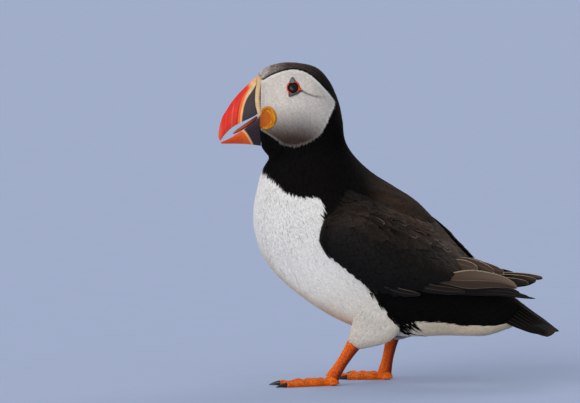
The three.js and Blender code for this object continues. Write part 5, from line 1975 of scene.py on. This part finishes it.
def build_claws():
    """Six claws: curved tapering horns, deeper than wide, flattened underneath."""
    material = horn_material("claw horn", 0.35, 0.4, 1200)
    for name in SIDES:
        for toe, size in TOES.items():
            _, tip, along = toe_line(name, *size)
            place = np.linspace(0, 1, 40)
            path = tip + along * (0.05 + CLAW_LENGTH * place[:, None])
            path[:, 2] = CLAW_ROOT + 0.25 * np.sin(np.pi * place) - (CLAW_ROOT - CLAW_TIP - 0.05) * place
            radius = CLAW_ROOT + (CLAW_TIP * 0.6 - CLAW_ROOT) * place ** 1.2
            rings = tube_rings(path, np.stack([radius, radius * 0.8], -1), 24)
            rings[..., 2] = np.maximum(rings[..., 2], 0)
            loft_piece(f"nail_{toe}_{name}", rings, tone(34, 27, 24), material,
                       [f"claw_{toe}_{name}"], False)


# ---------------- stage

def soft_light(name, direction, strength, width, colour):
    """A distant soft light that comes from a direction."""
    data = bpy.data.lights.new(name, "SUN")
    data.energy = strength
    data.angle = width
    data.color = colour
    light = bpy.data.objects.new(name, data)
    bpy.context.scene.collection.objects.link(light)
    light.location = direction
    light.rotation_euler = light.location.to_track_quat("Z", "Y").to_euler()
    return light


def build_stage():
    """A plain pale floor, even sky light, a soft key and fill, and the camera on a long lens."""
    stage = bpy.context.scene.puffin_stage
    scene = bpy.context.scene
    reach = 60000
    corners = np.array([[-reach, -reach, 0], [reach, -reach, 0], [reach, reach, 0], [-reach, reach, 0]])
    mesh = fill_mesh("floor", corners, [np.array([[0, 1, 2, 3]])])
    floor = bpy.data.objects.new("floor", mesh)
    scene.collection.objects.link(floor)
    node, finish = new_material("floor", 0.9, 0.1)
    base = np.array(stage.floor)
    grain = ramp(node, noise(node, 30, 2), 0.3, 0.7)
    mesh.materials.append(finish(blend(node, grain, tuple(base * 0.985), tuple(base))))
    floor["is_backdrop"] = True

    world = bpy.data.worlds.new("sky")
    scene.world = world
    world.use_nodes = True
    background = world.node_tree.nodes["Background"]
    background.inputs["Color"].default_value = (0.97, 0.98, 1, 1)
    background.inputs["Strength"].default_value = stage.sky

    soft_light("key", (-1.5, -1.9, 1.3), stage.key, stage.softness, (1, 0.96, 0.91))
    soft_light("fill", (-0.3, -2, 0.14), stage.fill, stage.softness, (1, 0.97, 0.93))
    soft_light("back", (0.6, 1.8, 1.4), stage.fill * 0.35, stage.softness, (0.97, 0.98, 1))

    azimuth, elevation = stage.azimuth, stage.elevation
    right = np.array([math.cos(azimuth), math.sin(azimuth), 0])
    back = np.array([math.sin(azimuth), -math.cos(azimuth), math.tan(elevation)]) * math.cos(elevation)
    up = np.cross(back, right)
    target = -stage.view_right * right + stage.view_up * up
    data = bpy.data.cameras.new("camera")
    data.sensor_width = 36
    data.lens = data.sensor_width * stage.distance / stage.view_width
    data.clip_end = 200
    camera = bpy.data.objects.new("camera", data)
    scene.collection.objects.link(camera)
    camera.location = target + back * stage.distance
    camera.rotation_euler = (math.pi / 2 - elevation, 0, azimuth)
    scene.camera = camera
    scene.view_settings.view_transform = "Standard"


# ---------------- operators

class PUFFIN_OT_skin(bpy.types.Operator):
    """Makes one skin in place of the solids of head, neck, trunk, thighs and wings"""
    bl_idname = "puffin.skin"
    bl_label = "Skin"

    def execute(self, context):
        build_skin()
        return {"FINISHED"}


class PUFFIN_OT_head_coat(bpy.types.Operator):
    """Covers the face patches and the crown with the smallest feathers"""
    bl_idname = "puffin.head_coat"
    bl_label = "Head coat"

    def execute(self, context):
        down = down_material("face down", 0.8, 0.15)
        coat_piece("face_coat_left", FACE, down, lambda points: points[:, 1] < 0)
        coat_piece("face_coat_right", FACE, down, lambda points: points[:, 1] >= 0)
        coat_piece("crown_coat", CROWN, down_material("crown down", 0.7, 0.05, 0.36))
        return {"FINISHED"}


class PUFFIN_OT_dark_coat(bpy.types.Operator):
    """Covers the collar, the back and the rump with dark feathers"""
    bl_idname = "puffin.dark_coat"
    bl_label = "Dark coat"

    def execute(self, context):
        coat_piece("collar_coat", COLLAR, down_material("collar down", 0.7, 0))
        coat_piece("back_coat", MANTLE, vane_material("back vanes", 0, 0.6, 30))
        coat_piece("flank_coat", FLANK, down_material("flank down", 0.7, 0))
        return {"FINISHED"}


class PUFFIN_OT_white_coat(bpy.types.Operator):
    """Covers the breast, the belly and the vent with long white feathers"""
    bl_idname = "puffin.white_coat"
    bl_label = "White coat"

    def execute(self, context):
        down = down_material("breast down", 0.85, 0.12)
        coat_piece("breast_coat", WHITE, down, lambda points: points[:, 2] > 80)
        for name, side in SIDES.items():
            coat_piece(f"belly_coat_{name}", WHITE, down,
                       lambda points: (points[:, 2] <= 80) & (points[:, 1] * side >= 0))
        return {"FINISHED"}


class PUFFIN_OT_thigh_coat(bpy.types.Operator):
    """Covers the thighs down to the ankles"""
    bl_idname = "puffin.thigh_coat"
    bl_label = "Thigh coat"

    def execute(self, context):
        build_thigh_coat()
        return {"FINISHED"}


class PUFFIN_OT_coverts(bpy.types.Operator):
    """Lays the coverts and the shoulder feathers over the wings"""
    bl_idname = "puffin.coverts"
    bl_label = "Coverts and scapulars"

    def execute(self, context):
        build_coverts()
        return {"FINISHED"}


class PUFFIN_OT_flight_feathers(bpy.types.Operator):
    """Makes the long feathers of the folded wings"""
    bl_idname = "puffin.flight_feathers"
    bl_label = "Flight feathers"

    def execute(self, context):
        build_flight_feathers()
        return {"FINISHED"}


class PUFFIN_OT_tail(bpy.types.Operator):
    """Makes the fan of tail feathers"""
    bl_idname = "puffin.tail"
    bl_label = "Tail"

    def execute(self, context):
        build_tail()
        return {"FINISHED"}


class PUFFIN_OT_bill(bpy.types.Operator):
    """Makes both halves of the bill and the rim round its root"""
    bl_idname = "puffin.bill"
    bl_label = "Bill"

    def execute(self, context):
        build_bill()
        return {"FINISHED"}


class PUFFIN_OT_mouth(bpy.types.Operator):
    """Makes the rosettes at the mouth's corners and the tongue"""
    bl_idname = "puffin.mouth"
    bl_label = "Mouth"

    def execute(self, context):
        build_mouth()
        return {"FINISHED"}


class PUFFIN_OT_eyes(bpy.types.Operator):
    """Makes the eyes, their lids and the horny plates round them"""
    bl_idname = "puffin.eyes"
    bl_label = "Eyes"

    def execute(self, context):
        build_eyes()
        return {"FINISHED"}


class PUFFIN_OT_legs(bpy.types.Operator):
    """Makes the shanks and the webbed feet"""
    bl_idname = "puffin.legs"
    bl_label = "Legs and feet"

    def execute(self, context):
        build_legs()
        return {"FINISHED"}


class PUFFIN_OT_claws(bpy.types.Operator):
    """Makes the six claws"""
    bl_idname = "puffin.claws"
    bl_label = "Claws"

    def execute(self, context):
        build_claws()
        return {"FINISHED"}


class PUFFIN_OT_stage(bpy.types.Operator):
    """Sets the floor, the light and the camera"""
    bl_idname = "puffin.stage"
    bl_label = "Stage"

    def execute(self, context):
        build_stage()
        return {"FINISHED"}


OPERATORS = (
    PUFFIN_OT_skin, PUFFIN_OT_head_coat, PUFFIN_OT_dark_coat, PUFFIN_OT_white_coat, PUFFIN_OT_thigh_coat,
    PUFFIN_OT_coverts, PUFFIN_OT_flight_feathers, PUFFIN_OT_tail, PUFFIN_OT_bill, PUFFIN_OT_mouth,
    PUFFIN_OT_eyes, PUFFIN_OT_legs, PUFFIN_OT_claws, PUFFIN_OT_stage)


class PUFFIN_PT_panel(bpy.types.Panel):
    """Settings of the puffin, and a button for each of its pieces"""
    bl_idname = "PUFFIN_PT_panel"
    bl_label = "Puffin"
    bl_space_type = "VIEW_3D"
    bl_region_type = "UI"
    bl_category = "Puffin"

    def draw(self, context):
        for operator in OPERATORS:
            self.layout.operator(operator.bl_idname)
        for group in GROUPS:
            box = self.layout.box()
            settings = getattr(context.scene, group)
            for key in settings.__annotations__:
                box.prop(settings, key)


CLASSES = (*GROUPS.values(), *OPERATORS, PUFFIN_PT_panel)


def register():
    """Registers the classes and hangs the settings on the scene."""
    for each in CLASSES:
        bpy.utils.register_class(each)
    for name, group in GROUPS.items():
        setattr(bpy.types.Scene, name, bpy.props.PointerProperty(type=group))


def unregister():
    """Takes the settings and the classes away again."""
    for name in GROUPS:
        delattr(bpy.types.Scene, name)
    for each in reversed(CLASSES):
        bpy.utils.unregister_class(each)


def main():
    """Builds the bird and its stage, and works out both boxes."""
    register()
    bpy.ops.puffin.skin()
    bpy.ops.puffin.head_coat()
    bpy.ops.puffin.dark_coat()
    bpy.ops.puffin.white_coat()
    bpy.ops.puffin.thigh_coat()
    bpy.ops.puffin.coverts()
    bpy.ops.puffin.flight_feathers()
    bpy.ops.puffin.tail()
    bpy.ops.puffin.bill()
    bpy.ops.puffin.mouth()
    bpy.ops.puffin.eyes()
    bpy.ops.puffin.legs()
    bpy.ops.puffin.claws()
    bpy.ops.puffin.stage()
    boxes = {"cad": CAD_BOX, "visual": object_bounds()}
    plain = {name: [[float(value) for value in corner] for corner in box] for name, box in boxes.items()}


if __name__ == "__main__":
    main()
